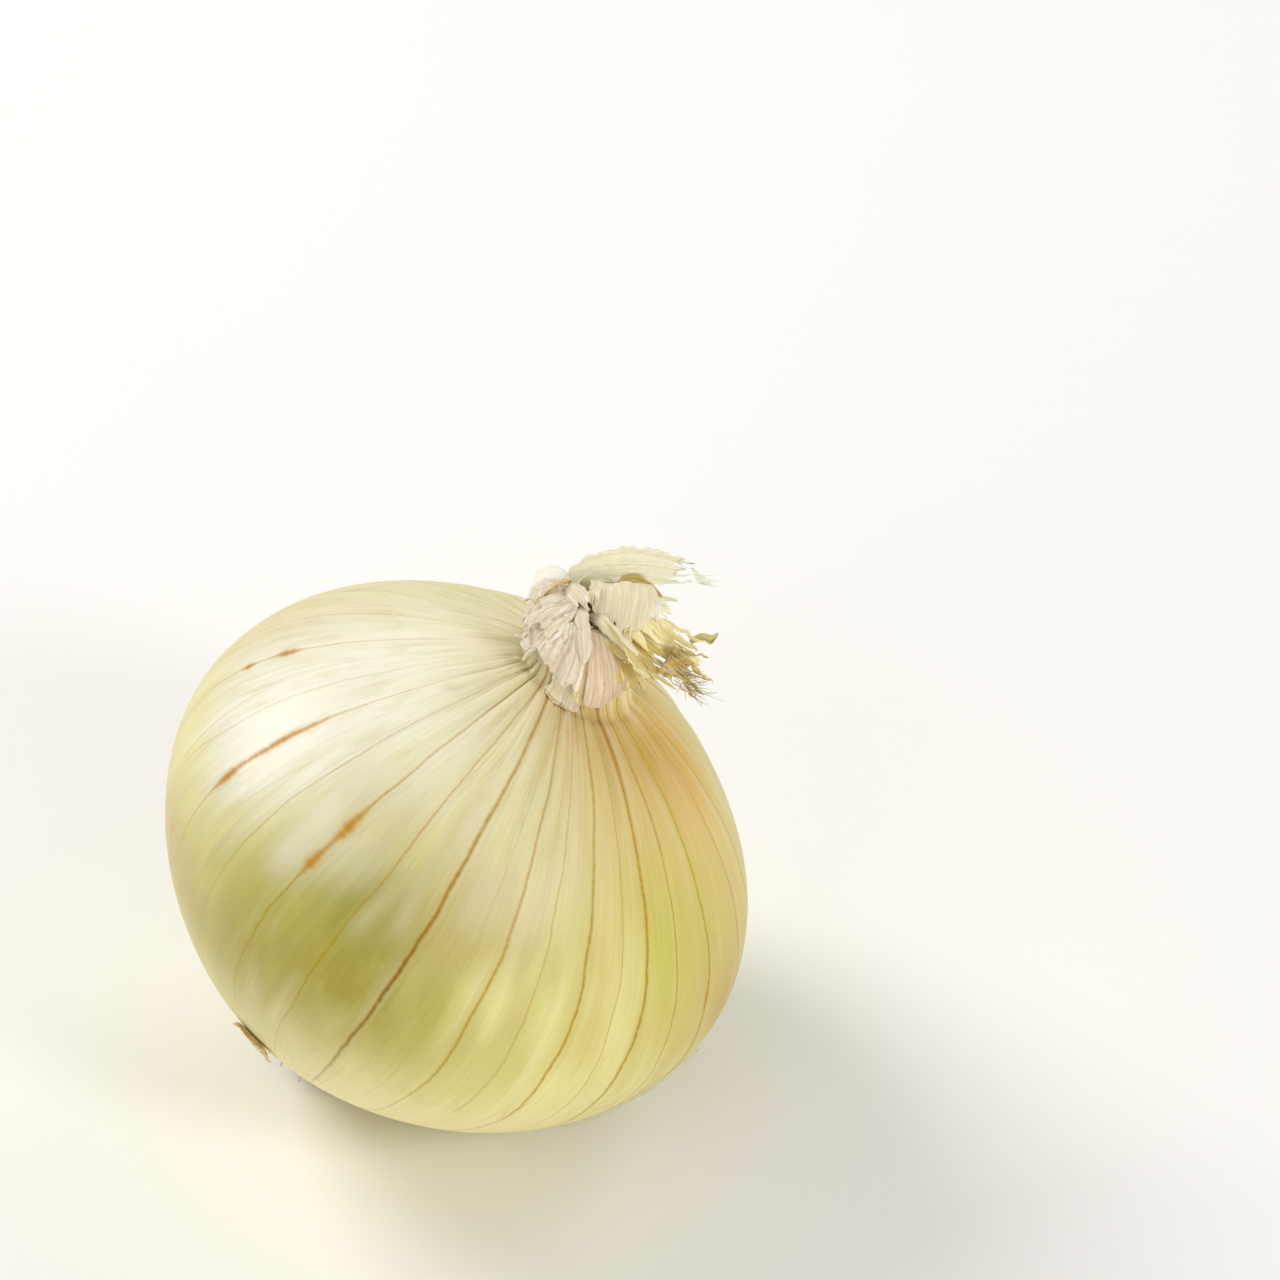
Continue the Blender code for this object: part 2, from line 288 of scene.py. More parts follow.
def nearestVein(azimuth, row):
    # the vein coordinate: whole numbers lie on veins, with the same slope on both sides of each
    places = np.array([v["at"] for v in row] + [row[0]["at"] + 360.0])
    turned = (azimuth - places[0]) % 360 + places[0]
    index = np.clip(np.searchsorted(places, turned, side="right") - 1, 0, len(row) - 1)
    before = np.minimum((turned - places[index]) / veinUnit, 0.5)
    after = np.minimum((places[index + 1] - turned) / veinUnit, 0.5)
    closer = (turned - places[index]) < (places[index + 1] - turned)
    return np.where(closer, index + before, index + 1 - after), (index + ~closer) % len(row)


def paintBulb(mesh, upright):
    radius = np.hypot(upright[:, 0], upright[:, 1])
    length = np.where(upright[:, 2] < 1e-3, radius, np.interp(upright[:, 2], sideHeight, sideLength))
    past = np.clip(length - veinDrift["start"], 0, None) / veinDrift["reach"]
    drift = veinDrift["shift"] * past ** veinDrift["power"]
    azimuth = np.degrees(np.arctan2(upright[:, 1], upright[:, 0] + drift)) - bulbShape["facing"]
    row = veinRow()
    # face corners carry the vein coordinate, so that it can jump between neighbours
    corners = np.empty(len(mesh.loops), np.int32)
    mesh.loops.foreach_get("vertex_index", corners)
    totals = np.array([p.loop_total for p in mesh.polygons])
    centres = np.radians(azimuth[corners])
    starts = np.concatenate([[0], np.cumsum(totals)[:-1]])
    sines, cosines = (np.add.reduceat(wave(centres), starts) for wave in (np.sin, np.cos))
    middle = np.repeat(np.degrees(np.arctan2(sines, cosines)), totals)
    cornerAzimuth = middle + (azimuth[corners] - middle + 180) % 360 - 180
    coordinate, _ = nearestVein(middle, row)
    own, index = nearestVein(cornerAzimuth, row)
    wrap = np.round(own - coordinate)
    own = own - np.where(np.abs(wrap) > len(row) / 2, wrap, 0)
    uv = mesh.uv_layers.new(name="veins")
    uv.data.foreach_set("uv", np.stack([own, length[corners] * 0.01], 1).ravel())
    # ink: colour and strength of the nearest vein, with the stains on it
    s = length[corners]
    upper, lower = (
        np.array([linear(tones[v[end]])[:3] for v in row])[index] for end in ("upper", "lower")
    )
    mix = smoothStep(62, 96, s)[:, None]
    colour = lower * (1 - mix) + upper * mix
    places, strength, width = (
        np.array([v[key] for v in row])[index] for key in ("at", "strength", "width")
    )
    strength = strength * (0.3 + 0.7 * smoothStep(40, 72, s)) * (1 - 0.3 * smoothStep(80, 98, s))
    width = width * (0.55 + 0.45 * smoothStep(20, 60, s) * (1 - 0.5 * smoothStep(92, 118, s)))
    for at, centre, reach, wide in stains:
        amount = np.where(np.abs(places - at) < 0.5, np.exp(-((s - centre) / reach) ** 2), 0)
        colour = colour * (1 - amount[:, None]) + np.array(linear(tones["orange"])[:3]) * amount[:, None]
        strength = np.maximum(strength, amount)
        width = np.maximum(width, wide * amount)
    ink = mesh.attributes.new("ink", "FLOAT_COLOR", "CORNER")
    ink.data.foreach_set("color", np.concatenate([colour, strength[:, None]], 1).ravel())
    inkWidth = mesh.attributes.new("inkWidth", "FLOAT", "CORNER")
    inkWidth.data.foreach_set("value", width)
    # broad colour of the flesh under the skin, with a painted highlight on the upper left and painted
    # light lifting the shade low on the front
    base = np.tile(np.array(linear(fleshColours["main"])[:3]), (len(upright), 1))
    for code, start, full in (fleshColours["neck"], fleshColours["root"]):
        near = smoothStep(start, full, length)[:, None]
        base = base * (1 - near) + np.array(linear(code)[:3]) * near
    wobble = np.array([noise.noise(Vector(p) * 0.06) for p in upright])
    turned = np.abs(azimuth - 65)
    streaks = np.array([noise.noise(Vector((a * 0.22, b * 0.09, 5))) for a, b in zip(turned, length)])
    for at, centre, across, along, code, amount in tintAndPaintedLightPatches:
        aside = np.radians((azimuth - at + 180) % 360 - 180) * radius
        away = np.hypot(aside / across, (length - centre) / along) * (1 + 0.35 * wobble + 0.45 * streaks)
        weight = (amount * np.exp(-away ** 2))[:, None]
        base = base * (1 - weight) + np.array(linear(code)[:3]) * weight
    fleshTintAndPaintedLight = mesh.attributes.new("fleshTintAndPaintedLight", "FLOAT_COLOR", "POINT")
    fleshTintAndPaintedLight.data.foreach_set("color", np.concatenate([base, np.ones((len(base), 1))], 1).ravel())
    grain = mesh.attributes.new("grain", "FLOAT_VECTOR", "POINT")
    angle = np.radians(azimuth)
    grain.data.foreach_set("vector", np.stack([np.cos(angle), np.sin(angle), length * 0.01], 1).ravel())
    arc = mesh.attributes.new("arc", "FLOAT", "POINT")
    arc.data.foreach_set("value", radius * math.radians(veinUnit))
    return azimuth, length, radius, nearestVein(azimuth, row)[0]


def makeBulb():
    print("bulb: turning the outline")
    activate(outline)
    bpy.ops.object.mode_set(mode="EDIT")
    bpy.ops.mesh.select_all(action="SELECT")
    bpy.ops.mesh.spin(steps=bulbShape["columns"], angle=math.tau, center=(0, 0, 0), axis=(0, 0, 1))
    bpy.ops.mesh.select_all(action="SELECT")
    bpy.ops.mesh.remove_doubles(threshold=1e-6)
    bpy.ops.mesh.normals_make_consistent(inside=False)
    bpy.ops.object.mode_set(mode="OBJECT")
    mesh = outline.data
    places = np.empty(len(mesh.vertices) * 3, np.float32)
    mesh.vertices.foreach_get("co", places)
    upright = places.reshape(-1, 3).astype(float) / mm
    print("bulb: painting veins and colour")
    azimuth, length, radius, coordinate = paintBulb(mesh, upright)
    # pleats that gather towards the neck, with the veins in their grooves, and soft dents
    across = np.abs(coordinate - np.round(coordinate)) * 2
    gather = smoothStep(86, 112, length) * (1 - 0.4 * smoothStep(footLength, footLength + 8, length))
    relief = bulbShape["pleatDepth"] * gather * (across - 0.6)
    angle = np.radians(azimuth)
    for i, place in enumerate(upright):
        dents = noise.noise(Vector(place) * 0.045) * min(1, length[i] / 20)
        round_ = Vector((math.cos(angle[i]), math.sin(angle[i]), 0))
        gathered = noise.noise(round_ * 9 + Vector((0, 0, length[i] * 0.03)))
        fine = noise.noise(round_ * 24 + Vector((0, 0, length[i] * 0.05)))
        pleats = bulbShape["broadPleat"] * gathered + bulbShape["finePleat"] * fine
        relief[i] += bulbShape["dentDepth"] * dents + gather[i] * pleats
    slope = np.gradient(sideHeight, sideLength), np.gradient(sideRadius, sideLength)
    outward = np.interp(length, sideLength, slope[0])
    upward = -np.interp(length, sideLength, slope[1])
    relief = np.where(length > bulbShape["rootRadius"], relief, 0)
    safe = np.maximum(radius, 1e-6)
    upright[:, 0] += upright[:, 0] / safe * outward * relief
    upright[:, 1] += upright[:, 1] / safe * outward * relief
    upright[:, 2] += upward * relief
    mesh.vertices.foreach_set("co", leaned(grow(upright)).astype(np.float32).ravel())
    mesh.update()
    outline.name = "bulbSkin"
    activate(outline)
    bpy.ops.object.mode_set(mode="EDIT")
    bpy.ops.mesh.select_all(action="SELECT")
    # the flat spot that it rests on
    bpy.ops.mesh.bisect(
        plane_co=(0, 0, 0), plane_no=(0, 0, -1), use_fill=True, clear_outer=True, threshold=1e-6
    )
    bpy.ops.object.mode_set(mode="OBJECT")
    bpy.ops.object.shade_smooth_by_angle(angle=math.radians(50))
    return outline


# cellulose skin over wet flesh: thin, satin and a little see-through, so light goes soft under it
skinColours = dict(green="#BDBB62", pale="#EFE8CC", cloud="#C6C06E", hair="#BD9A50", deep="#F0EEDA")
skinFinish = {
    "IOR": 1.45, "Specular IOR Level": 0.2, "Coat Weight": 0.07, "Coat Roughness": 0.3,
    "Subsurface Weight": 0.05, "Subsurface Radius": (1.0, 0.95, 0.8), "Subsurface Scale": 0.002,
}


def onionSkinMaterial():
    skin, add = newMaterial("onionSkin")
    colours = {name: linear(code) for name, code in skinColours.items()}
    place = add("UVMap", uv_map="veins")
    split = add("SeparateXYZ", [place])
    grain, fleshTintAndPaintedLight, ink, inkWidth, arc = [
        add("Attribute", attribute_name=name, attribute_type="GEOMETRY")
        for name in ("grain", "fleshTintAndPaintedLight", "ink", "inkWidth", "arc")
    ]
    number = add("Math", [split], operation="ROUND")
    offset = add("Math", [split, number], operation="SUBTRACT")
    # each vein wanders in its own way: its number picks the noise
    seat = add("Math", [number, 7.31], operation="MULTIPLY")
    track = add("CombineXYZ", [seat, split.outputs[1], 0.0])
    slow = add("TexNoise", dict(Vector=track, Scale=7.0, Detail=1.0))
    quick = add("TexNoise", dict(Vector=track, Scale=60.0, Detail=2.0))
    slowMove = add("MapRange", [slow, 0.25, 0.75, -0.05, 0.05])
    quickMove = add("MapRange", [quick, 0.25, 0.75, -0.012, 0.012])
    moved = add("Math", [offset, slowMove], operation="ADD")
    moved = add("Math", [moved, quickMove], operation="ADD")
    aside = add("Math", [moved], operation="ABSOLUTE")
    distance = add("Math", [aside, arc.outputs["Fac"]], operation="MULTIPLY")
    # blotchy ink: broken along the vein every few millimetres
    blot = add("TexNoise", dict(Vector=track, Scale=130.0, Detail=3.0))
    blotWidth = add("MapRange", [blot, 0.3, 0.7, 0.48, 1.0])
    half = add("Math", [inkWidth.outputs["Fac"], blotWidth], operation="MULTIPLY")
    core = add("MapRange", [distance, 0.0, half, 1.0, 0.0], interpolation_type="SMOOTHSTEP")
    wide = add("Math", [inkWidth.outputs["Fac"], 1.25], operation="MULTIPLY")
    halo = add("MapRange", [distance, 0.0, wide, 0.6, 0.0], interpolation_type="SMOOTHSTEP")
    fade = add("MapRange", [blot, 0.3, 0.65, 0.7, 1.0])
    coreInk = add("Math", [core, ink.outputs["Alpha"]], operation="MULTIPLY")
    coreInk = add("Math", [coreInk, fade], operation="MULTIPLY", use_clamp=True)
    haloInk = add("Math", [halo, ink.outputs["Alpha"]], operation="MULTIPLY", use_clamp=True)
    # hair veins between the main ones, about 2 mm apart, and lengthwise fibre about 0.4 mm apart
    hairPlace = add("VectorMath", [grain.outputs["Vector"], (11.0, 11.0, 1.6)], operation="MULTIPLY")
    hairBend = add("TexNoise", dict(Vector=grain.outputs["Vector"], Scale=9.0, Detail=2.0))
    hairMove = add(
        "VectorMath", [hairBend.outputs["Color"], (0.16, 0.16, 0.0), hairPlace], operation="MULTIPLY_ADD"
    )
    hair = add("TexVoronoi", dict(Vector=hairMove, Scale=1.0), feature="DISTANCE_TO_EDGE")
    hairLine = add("MapRange", [hair.outputs["Distance"], 0.0, 0.025, 1.0, 0.0])
    hairShow = add("TexNoise", dict(Vector=grain.outputs["Vector"], Scale=5.0, Detail=3.0))
    hairAmount = add("MapRange", [hairShow, 0.45, 0.68, 0.0, 0.42])
    hairInk = add("Math", [hairLine, hairAmount], operation="MULTIPLY")
    fibrePlace = add("VectorMath", [grain.outputs["Vector"], (70.0, 70.0, 5.0)], operation="MULTIPLY")
    fibre = add("TexNoise", dict(Vector=fibrePlace, Scale=1.0, Detail=3.0, Roughness=0.6))
    streakPlace = add("VectorMath", [grain.outputs["Vector"], (9.0, 9.0, 3.2)], operation="MULTIPLY")
    streak = add("TexNoise", dict(Vector=streakPlace, Scale=1.0, Detail=3.0))
    # colours, from the flesh outwards
    green = add("MapRange", [streak, 0.52, 0.72, 0.0, 0.22])
    # the flesh tint holds the painted highlight and the painted light under the bulb as well as the flesh
    # colour
    flesh = add("Mix", dict(Factor=green, A=fleshTintAndPaintedLight.outputs["Color"], B=colours["green"]), data_type="RGBA")
    pale = add("MapRange", [streak, 0.46, 0.28, 0.0, 0.2])
    flesh = add("Mix", dict(Factor=pale, A=flesh, B=colours["pale"]), data_type="RGBA")
    shade = add("MapRange", [fibre, 0.3, 0.7, 0.95, 1.04])
    # mottling: soft clouds about 3 mm across
    cloud = add("TexNoise", dict(Vector=grain.outputs["Vector"], Scale=14.0, Detail=4.0, Roughness=0.6))
    clouds = add("MapRange", [cloud, 0.5, 0.72, 0.0, 0.3])
    flesh = add("Mix", dict(Factor=clouds, A=flesh, B=colours["cloud"]), data_type="RGBA")
    fibred = add("Mix", dict(Factor=1.0, A=flesh, B=shade), data_type="RGBA", blend_type="MULTIPLY")
    haired = add("Mix", dict(Factor=hairInk, A=fibred, B=colours["hair"]), data_type="RGBA")
    haloed = add("Mix", dict(Factor=haloInk, A=haired, B=ink.outputs["Color"]), data_type="RGBA")
    deep = add(
        "Mix", dict(Factor=1.0, A=ink.outputs["Color"], B=colours["deep"]),
        data_type="RGBA", blend_type="MULTIPLY"
    )
    inked = add("Mix", dict(Factor=coreInk, A=haloed, B=deep), data_type="RGBA")
    gloss = add("MapRange", [fibre, 0.3, 0.7, 0.34, 0.46])
    bump = add("Bump", dict(Height=fibre, Strength=0.22, Distance=0.00025))
    sunk = add("Bump", dict(Height=coreInk, Strength=0.3, Distance=0.0001, Normal=bump), invert=True)
    return finishMaterial(skin, {"Base Color": inked, "Roughness": gloss, "Normal": sunk}, skinFinish)


bulb = makeBulb()
setMaterial(bulb, onionSkinMaterial())
finishPiece(bulb, "onion_skin", "bulb")
print("bulb:", len(bulb.data.polygons), "faces")


# ---- dry leaves: sheets laid along a line or over the skin, sizes in millimetres

def catmullRoute(points, count):
    knots = np.array(points, float)
    ends = np.vstack([2 * knots[0] - knots[1], knots, 2 * knots[-1] - knots[-2]])
    place = np.linspace(0, len(knots) - 1, 12 * len(knots))
    index = np.clip(place.astype(int), 0, len(knots) - 2)
    part = (place - index)[:, None]
    a, b, c, d = (ends[index + k] for k in range(4))
    square, cube = 2 * a - 5 * b + 4 * c - d, 3 * b - a - 3 * c + d
    line = 0.5 * (2 * b + (c - a) * part + square * part ** 2 + cube * part ** 3)
    walked = np.concatenate([[0], np.cumsum(np.linalg.norm(np.diff(line, axis=0), axis=1))])
    even = np.linspace(0, walked[-1], count)
    return np.stack([np.interp(even, walked, line[:, k]) for k in range(3)], 1), walked[-1]


def unit(rows):
    return rows / np.maximum(np.linalg.norm(rows, axis=-1, keepdims=True), 1e-9)


def alongRows(share, rows):
    # rows of values spread evenly over 0 to 1, read off at each share
    evenly = np.linspace(0, 1, len(rows))
    return np.stack([np.interp(share, evenly, column) for column in rows.T], 1)


def waves(x, y, seed):
    # smooth noise for arrays, about one wave for each step of 1
    return np.array([noise.noise(Vector((a, b, seed * 3.7))) for a, b in zip(x, y)])


def sheetGrid(name, columns, rows):
    deselectAll()
    bpy.ops.mesh.primitive_grid_add(
        x_subdivisions=columns, y_subdivisions=rows, size=1, location=(0, 0, 0)
    )
    sheet = bpy.context.object
    sheet.name = name
    places = np.empty(len(sheet.data.vertices) * 3, np.float32)
    sheet.data.vertices.foreach_get("co", places)
    places = places.reshape(-1, 3).astype(float) + 0.5
    return sheet, places[:, 0], places[:, 1]


def splitStrands(across, along, leaf, columns):
    # the far end parts into strands, which end at their own lengths and lean apart
    rng = random.Random(leaf["seed"])
    count = leaf["strands"]
    cuts = sorted(rng.sample(range(2, columns - 1), count - 1)) if count > 1 else []
    column = np.rint(across * columns).astype(int)
    strand = np.searchsorted(cuts, column, side="right")
    begins = np.array([rng.uniform(*leaf["splitFrom"]) for _ in range(count)])
    ends = np.array([rng.uniform(leaf["shortest"], 1) for _ in range(count)])
    pushes = np.array([[rng.uniform(-1, 1), rng.uniform(-1, 1)] for _ in range(count)])
    middles = np.array([across[strand == k].mean() for k in range(count)])
    begin, push, middle = begins[strand], pushes[strand], middles[strand]
    part = np.clip((along - begin) / (1 - begin), 0, 1)
    across = middle + (across - middle) * (1 - leaf["taper"] * part ** 2)
    along = along * (1 - (1 - ends[strand]) * part)
    return across, along, push * (part ** 1.6)[:, None] * leaf["spread"], strand, begins


def cutStrands(sheet, strand, along, begins):
    # deletes the faces between two strands, past the place where the first of them parts
    mesh = sheet.data
    for items in (mesh.polygons, mesh.edges, mesh.vertices):
        items.foreach_set("select", [False] * len(items))
    for face in mesh.polygons:
        own = [strand[v] for v in face.vertices]
        parted = min(along[v] for v in face.vertices) > min(begins[min(own)], begins[max(own)])
        face.select = bool(parted and min(own) != max(own))
    if any(face.select for face in mesh.polygons):
        bpy.ops.object.mode_set(mode="EDIT")
        bpy.ops.mesh.delete(type="FACE")
        bpy.ops.object.mode_set(mode="OBJECT")


def placeSheet(sheet, places, fibre):
    # places in m, the fibre coordinates in mm: x across the leaf and y along it; the map holds them in cm
    mesh = sheet.data
    mesh.vertices.foreach_set("co", places.astype(np.float32).ravel())
    corners = np.empty(len(mesh.loops), np.int32)
    mesh.loops.foreach_get("vertex_index", corners)
    while mesh.uv_layers:
        mesh.uv_layers.remove(mesh.uv_layers[0])
    fibre = (fibre[corners] / 10).astype(np.float32)
    mesh.uv_layers.new(name="fibre").data.foreach_set("uv", fibre.ravel())
    mesh.update()


def thicken(sheet, thickness, material):
    activate(sheet)
    wall = sheet.modifiers.new("wall", "SOLIDIFY")
    wall.thickness = thickness * mm
    wall.offset = 0
    bpy.ops.object.modifier_apply(modifier="wall")
    bpy.ops.object.shade_smooth()
    setMaterial(sheet, material)
    return sheet


# what a sheet's dictionary leaves out: mesh steps, waves out of its plane and ragged ends, all in mm
leafUsual = dict(
    grid=0.17, gridAlong=0.22, thickness=0.13, bow=0.1, fold=0.35, foldStep=1.4, rib=0.1, crinkle=0.1,
    rag=0.6, edgeRag=0.3,
)
sheathUsual = dict(
    grid=0.2, thickness=0.13, flare=0.5, fold=0.4, rib=0.14, crinkle=0.15, rag=1.2, reach=1, slant=0,
    twist=0,
)
strandUsual = dict(strands=1, splitFrom=(0.6, 0.85), shortest=0.75, taper=0.5, spread=0.8)
filmUsual = dict(thickness=0.1, round=0.2, rag=1.5, peel=0.4, crinkle=0.08)


def makeLeaf(name, leaf, root, material):
    # leaf: route, widths, faces (the way that its width runs, from start to end), and how it is worn
    leaf = leafUsual | strandUsual | leaf
    width = max(leaf["widths"])
    line, reach = catmullRoute(leaf["route"], 120)
    columns = max(6, int(width / leaf["grid"]))
    rows = max(10, int(reach / leaf["gridAlong"]))
    sheet, across, along = sheetGrid(name, columns, rows)
    across, along, push, strand, begins = splitStrands(across, along, leaf, columns)
    seed = leaf["seed"]
    rag = leaf["rag"]
    flat = (across - 0.5) * width
    torn = rag / reach * (0.5 + waves(flat * 1.3, flat * 0, seed))
    along = along * (1 - torn * smoothStep(0.3, 1, along))
    torn = rag / reach * 0.6 * waves(flat * 1.6, flat * 0, seed + 1)
    along = along + torn * (1 - smoothStep(0, 0.4, along))
    place = alongRows(along, line)
    ahead = unit(alongRows(along, unit(np.gradient(line, axis=0))))
    side = alongRows(along, unit(np.array(leaf["faces"], float)))
    side = unit(side - ahead * (side * ahead).sum(1, keepdims=True))
    out = np.cross(ahead, side)
    wide = alongRows(along, np.array(leaf["widths"])[:, None])[:, 0]
    edge = np.sign(across - 0.5) * smoothStep(0.3, 1, abs(across - 0.5) * 2)
    flat = (across - 0.5) * wide
    flat = flat + edge * leaf["edgeRag"] * waves(along * reach * 0.9, edge * 2, seed + 2)
    lift = leaf["bow"] * wide * ((across - 0.5) ** 2 * 4 - 0.4)
    lift += leaf["fold"] * waves(flat / leaf["foldStep"], along * reach / 6, seed + 3)
    lift += leaf["rib"] * waves(flat / 0.32, along * reach / 9, seed + 4)
    lift += leaf["crinkle"] * waves(flat / 1.0, along * reach / 1.1, seed + 5)
    place = place + side * (flat + push[:, 0])[:, None] + out * (lift + push[:, 1])[:, None]
    placeSheet(sheet, (place + np.array(root)) * mm, np.stack([flat, along * reach], 1))
    cutStrands(sheet, strand, along, begins)
    return thicken(sheet, leaf["thickness"], material)


sheathRadius = 9.5  # mm from the neck's axis, where a sheath's width is measured


def makeSheath(name, sheath, material):
    # a sheet round the neck: its hem lies on the shoulder, and it bends up along the neck
    sheath = sheathUsual | strandUsual | sheath
    low, high = sheath["azimuths"]
    hem, fold, rim = (np.array(point) for point in sheath["profile"])
    tall = np.linalg.norm(rim - fold) + np.linalg.norm(fold - hem)
    girth = math.radians(high - low) * sheathRadius
    columns = int(girth / sheath["grid"])
    rows = int(tall / 0.25)
    sheet, across, along = sheetGrid(name, columns, rows)
    # strands run from the rim down to the hem, so the hem is the end that parts
    seed = sheath["seed"]
    across, down, push, strand, begins = splitStrands(across, along, sheath, columns)
    flat = (across - 0.5) * girth
    rag = sheath["rag"]
    torn = rag / tall * (0.4 + 0.9 * waves(flat * 0.8, flat * 0, seed))
    down = down * (1 - torn * smoothStep(0.4, 1, down))
    torn = rag / tall * 0.5 * waves(flat * 1.4, flat * 0, seed + 1)
    down = down + torn * (1 - smoothStep(0, 0.4, down))
    down = down * (sheath["reach"] - sheath["slant"] * across)
    share = (1 - down)[:, None]
    place = (hem * (1 - share) + fold * share) * (1 - share) + (fold * (1 - share) + rim * share) * share
    slope = unit((fold - hem) * (1 - share) + (rim - fold) * share)
    outward = np.stack([slope[:, 1], -slope[:, 0]], 1)
    lift = sheath["lift"] + sheath["flare"] * smoothStep(0.45, 1, down)
    lift += sheath["fold"] * waves(flat / 1.7, down * tall / 8, seed + 3)
    lift += sheath["rib"] * waves(flat / 0.38, down * tall / 10, seed + 4)
    lift += sheath["crinkle"] * waves(flat / 1.1, down * tall / 1.2, seed + 5)
    place = place + outward * (lift + np.clip(push[:, 1], -0.1, 2))[:, None]
    azimuth = low + (high - low) * across + bulbShape["facing"] + sheath["twist"] * (down - 0.4)
    azimuth = np.radians(azimuth) + push[:, 0] / sheathRadius
    upright = np.stack([place[:, 0] * np.cos(azimuth), place[:, 0] * np.sin(azimuth), place[:, 1]], 1)
    placeSheet(sheet, leaned(grow(upright)), np.stack([flat, down * tall], 1))
    cutStrands(sheet, strand, down, begins)
    return thicken(sheet, sheath["thickness"], material)


def makeFilm(name, film, material):
    # a loose film of skin over the bulb: azimuths and lengths of its patch, and how it lifts at its edges
    film = filmUsual | film
    low, high = film["azimuths"]
    near, far = film["lengths"]
    middle = (near + far) / 2
    radius = float(np.interp(middle, sideLength, sideRadius))
    wide = math.radians(high - low) * radius
    columns, rows = max(12, int(wide / 0.45)), max(8, int(abs(far - near) / 0.45))
    sheet, across, along = sheetGrid(name, columns, rows)
    seed = film["seed"]
    rag = film["rag"]
    flat, tall = (across - 0.5) * wide, (along - 0.5) * (far - near)
    rimX = smoothStep(0.25, 1, abs(across - 0.5) * 2) * np.sign(across - 0.5)
    rimY = smoothStep(0.25, 1, abs(along - 0.5) * 2) * np.sign(along - 0.5)
    flat = flat * (1 - film["round"] * rimY ** 2) + rimX * rag * waves(tall / 3, rimX * 3, seed)
    tall = tall * (1 - film["round"] * rimX ** 2) + rimY * rag * waves(flat / 3, rimY * 3, seed + 1)
    length = middle + tall
    azimuth = np.radians((low + high) / 2 + bulbShape["facing"]) + flat / radius
    outer = np.maximum(abs(rimX), abs(rimY))
    lift = film["lift"] + film["peel"] * outer ** 3 * (1 + 0.8 * waves(flat / 4, tall / 4, seed + 2))
    lift += film["crinkle"] * waves(flat / 2, tall / 2, seed + 3)
    level, away = np.interp(length, sideLength, sideHeight), np.interp(length, sideLength, sideRadius)
    rise = np.interp(length, sideLength, np.gradient(sideHeight, sideLength))
    ahead = np.interp(length, sideLength, np.gradient(sideRadius, sideLength))
    away, level = away + rise * lift, level - ahead * lift
    upright = np.stack([away * np.cos(azimuth), away * np.sin(azimuth), level], 1)
    placeSheet(sheet, leaned(grow(upright)), np.stack([flat, tall], 1))
    return thicken(sheet, film["thickness"], material)


def makeThreads(name, lines, radius, material, sides=1):
    # thin round fibres along lines of points in m, tapered to their tips
    deselectAll()
    bpy.ops.curve.primitive_bezier_curve_add(location=(0, 0, 0))
    bundle = bpy.context.object
    bundle.name = name
    bundle.data.splines.clear()
    for line, thick in zip(lines, radius):
        spline = bundle.data.splines.new("POLY")
        spline.points.add(len(line) - 1)
        for i, (point, place) in enumerate(zip(spline.points, line)):
            point.co = (*place, 1)
            point.radius = thick * (1 - 0.75 * (i / (len(line) - 1)) ** 1.5)
    bundle.data.bevel_depth = mm
    bundle.data.bevel_resolution = sides
    bundle.data.use_fill_caps = True
    bpy.ops.object.convert(target="MESH")
    bundle = bpy.context.object
    bpy.ops.object.shade_smooth()
    setMaterial(bundle, material)
    return bundle


def joinPieces(name, pieces):
    deselectAll()
    for piece in pieces:
        piece.select_set(True)
    bpy.context.view_layer.objects.active = pieces[0]
    if len(pieces) > 1:
        bpy.ops.object.join()
    pieces[0].name = name
    return pieces[0]


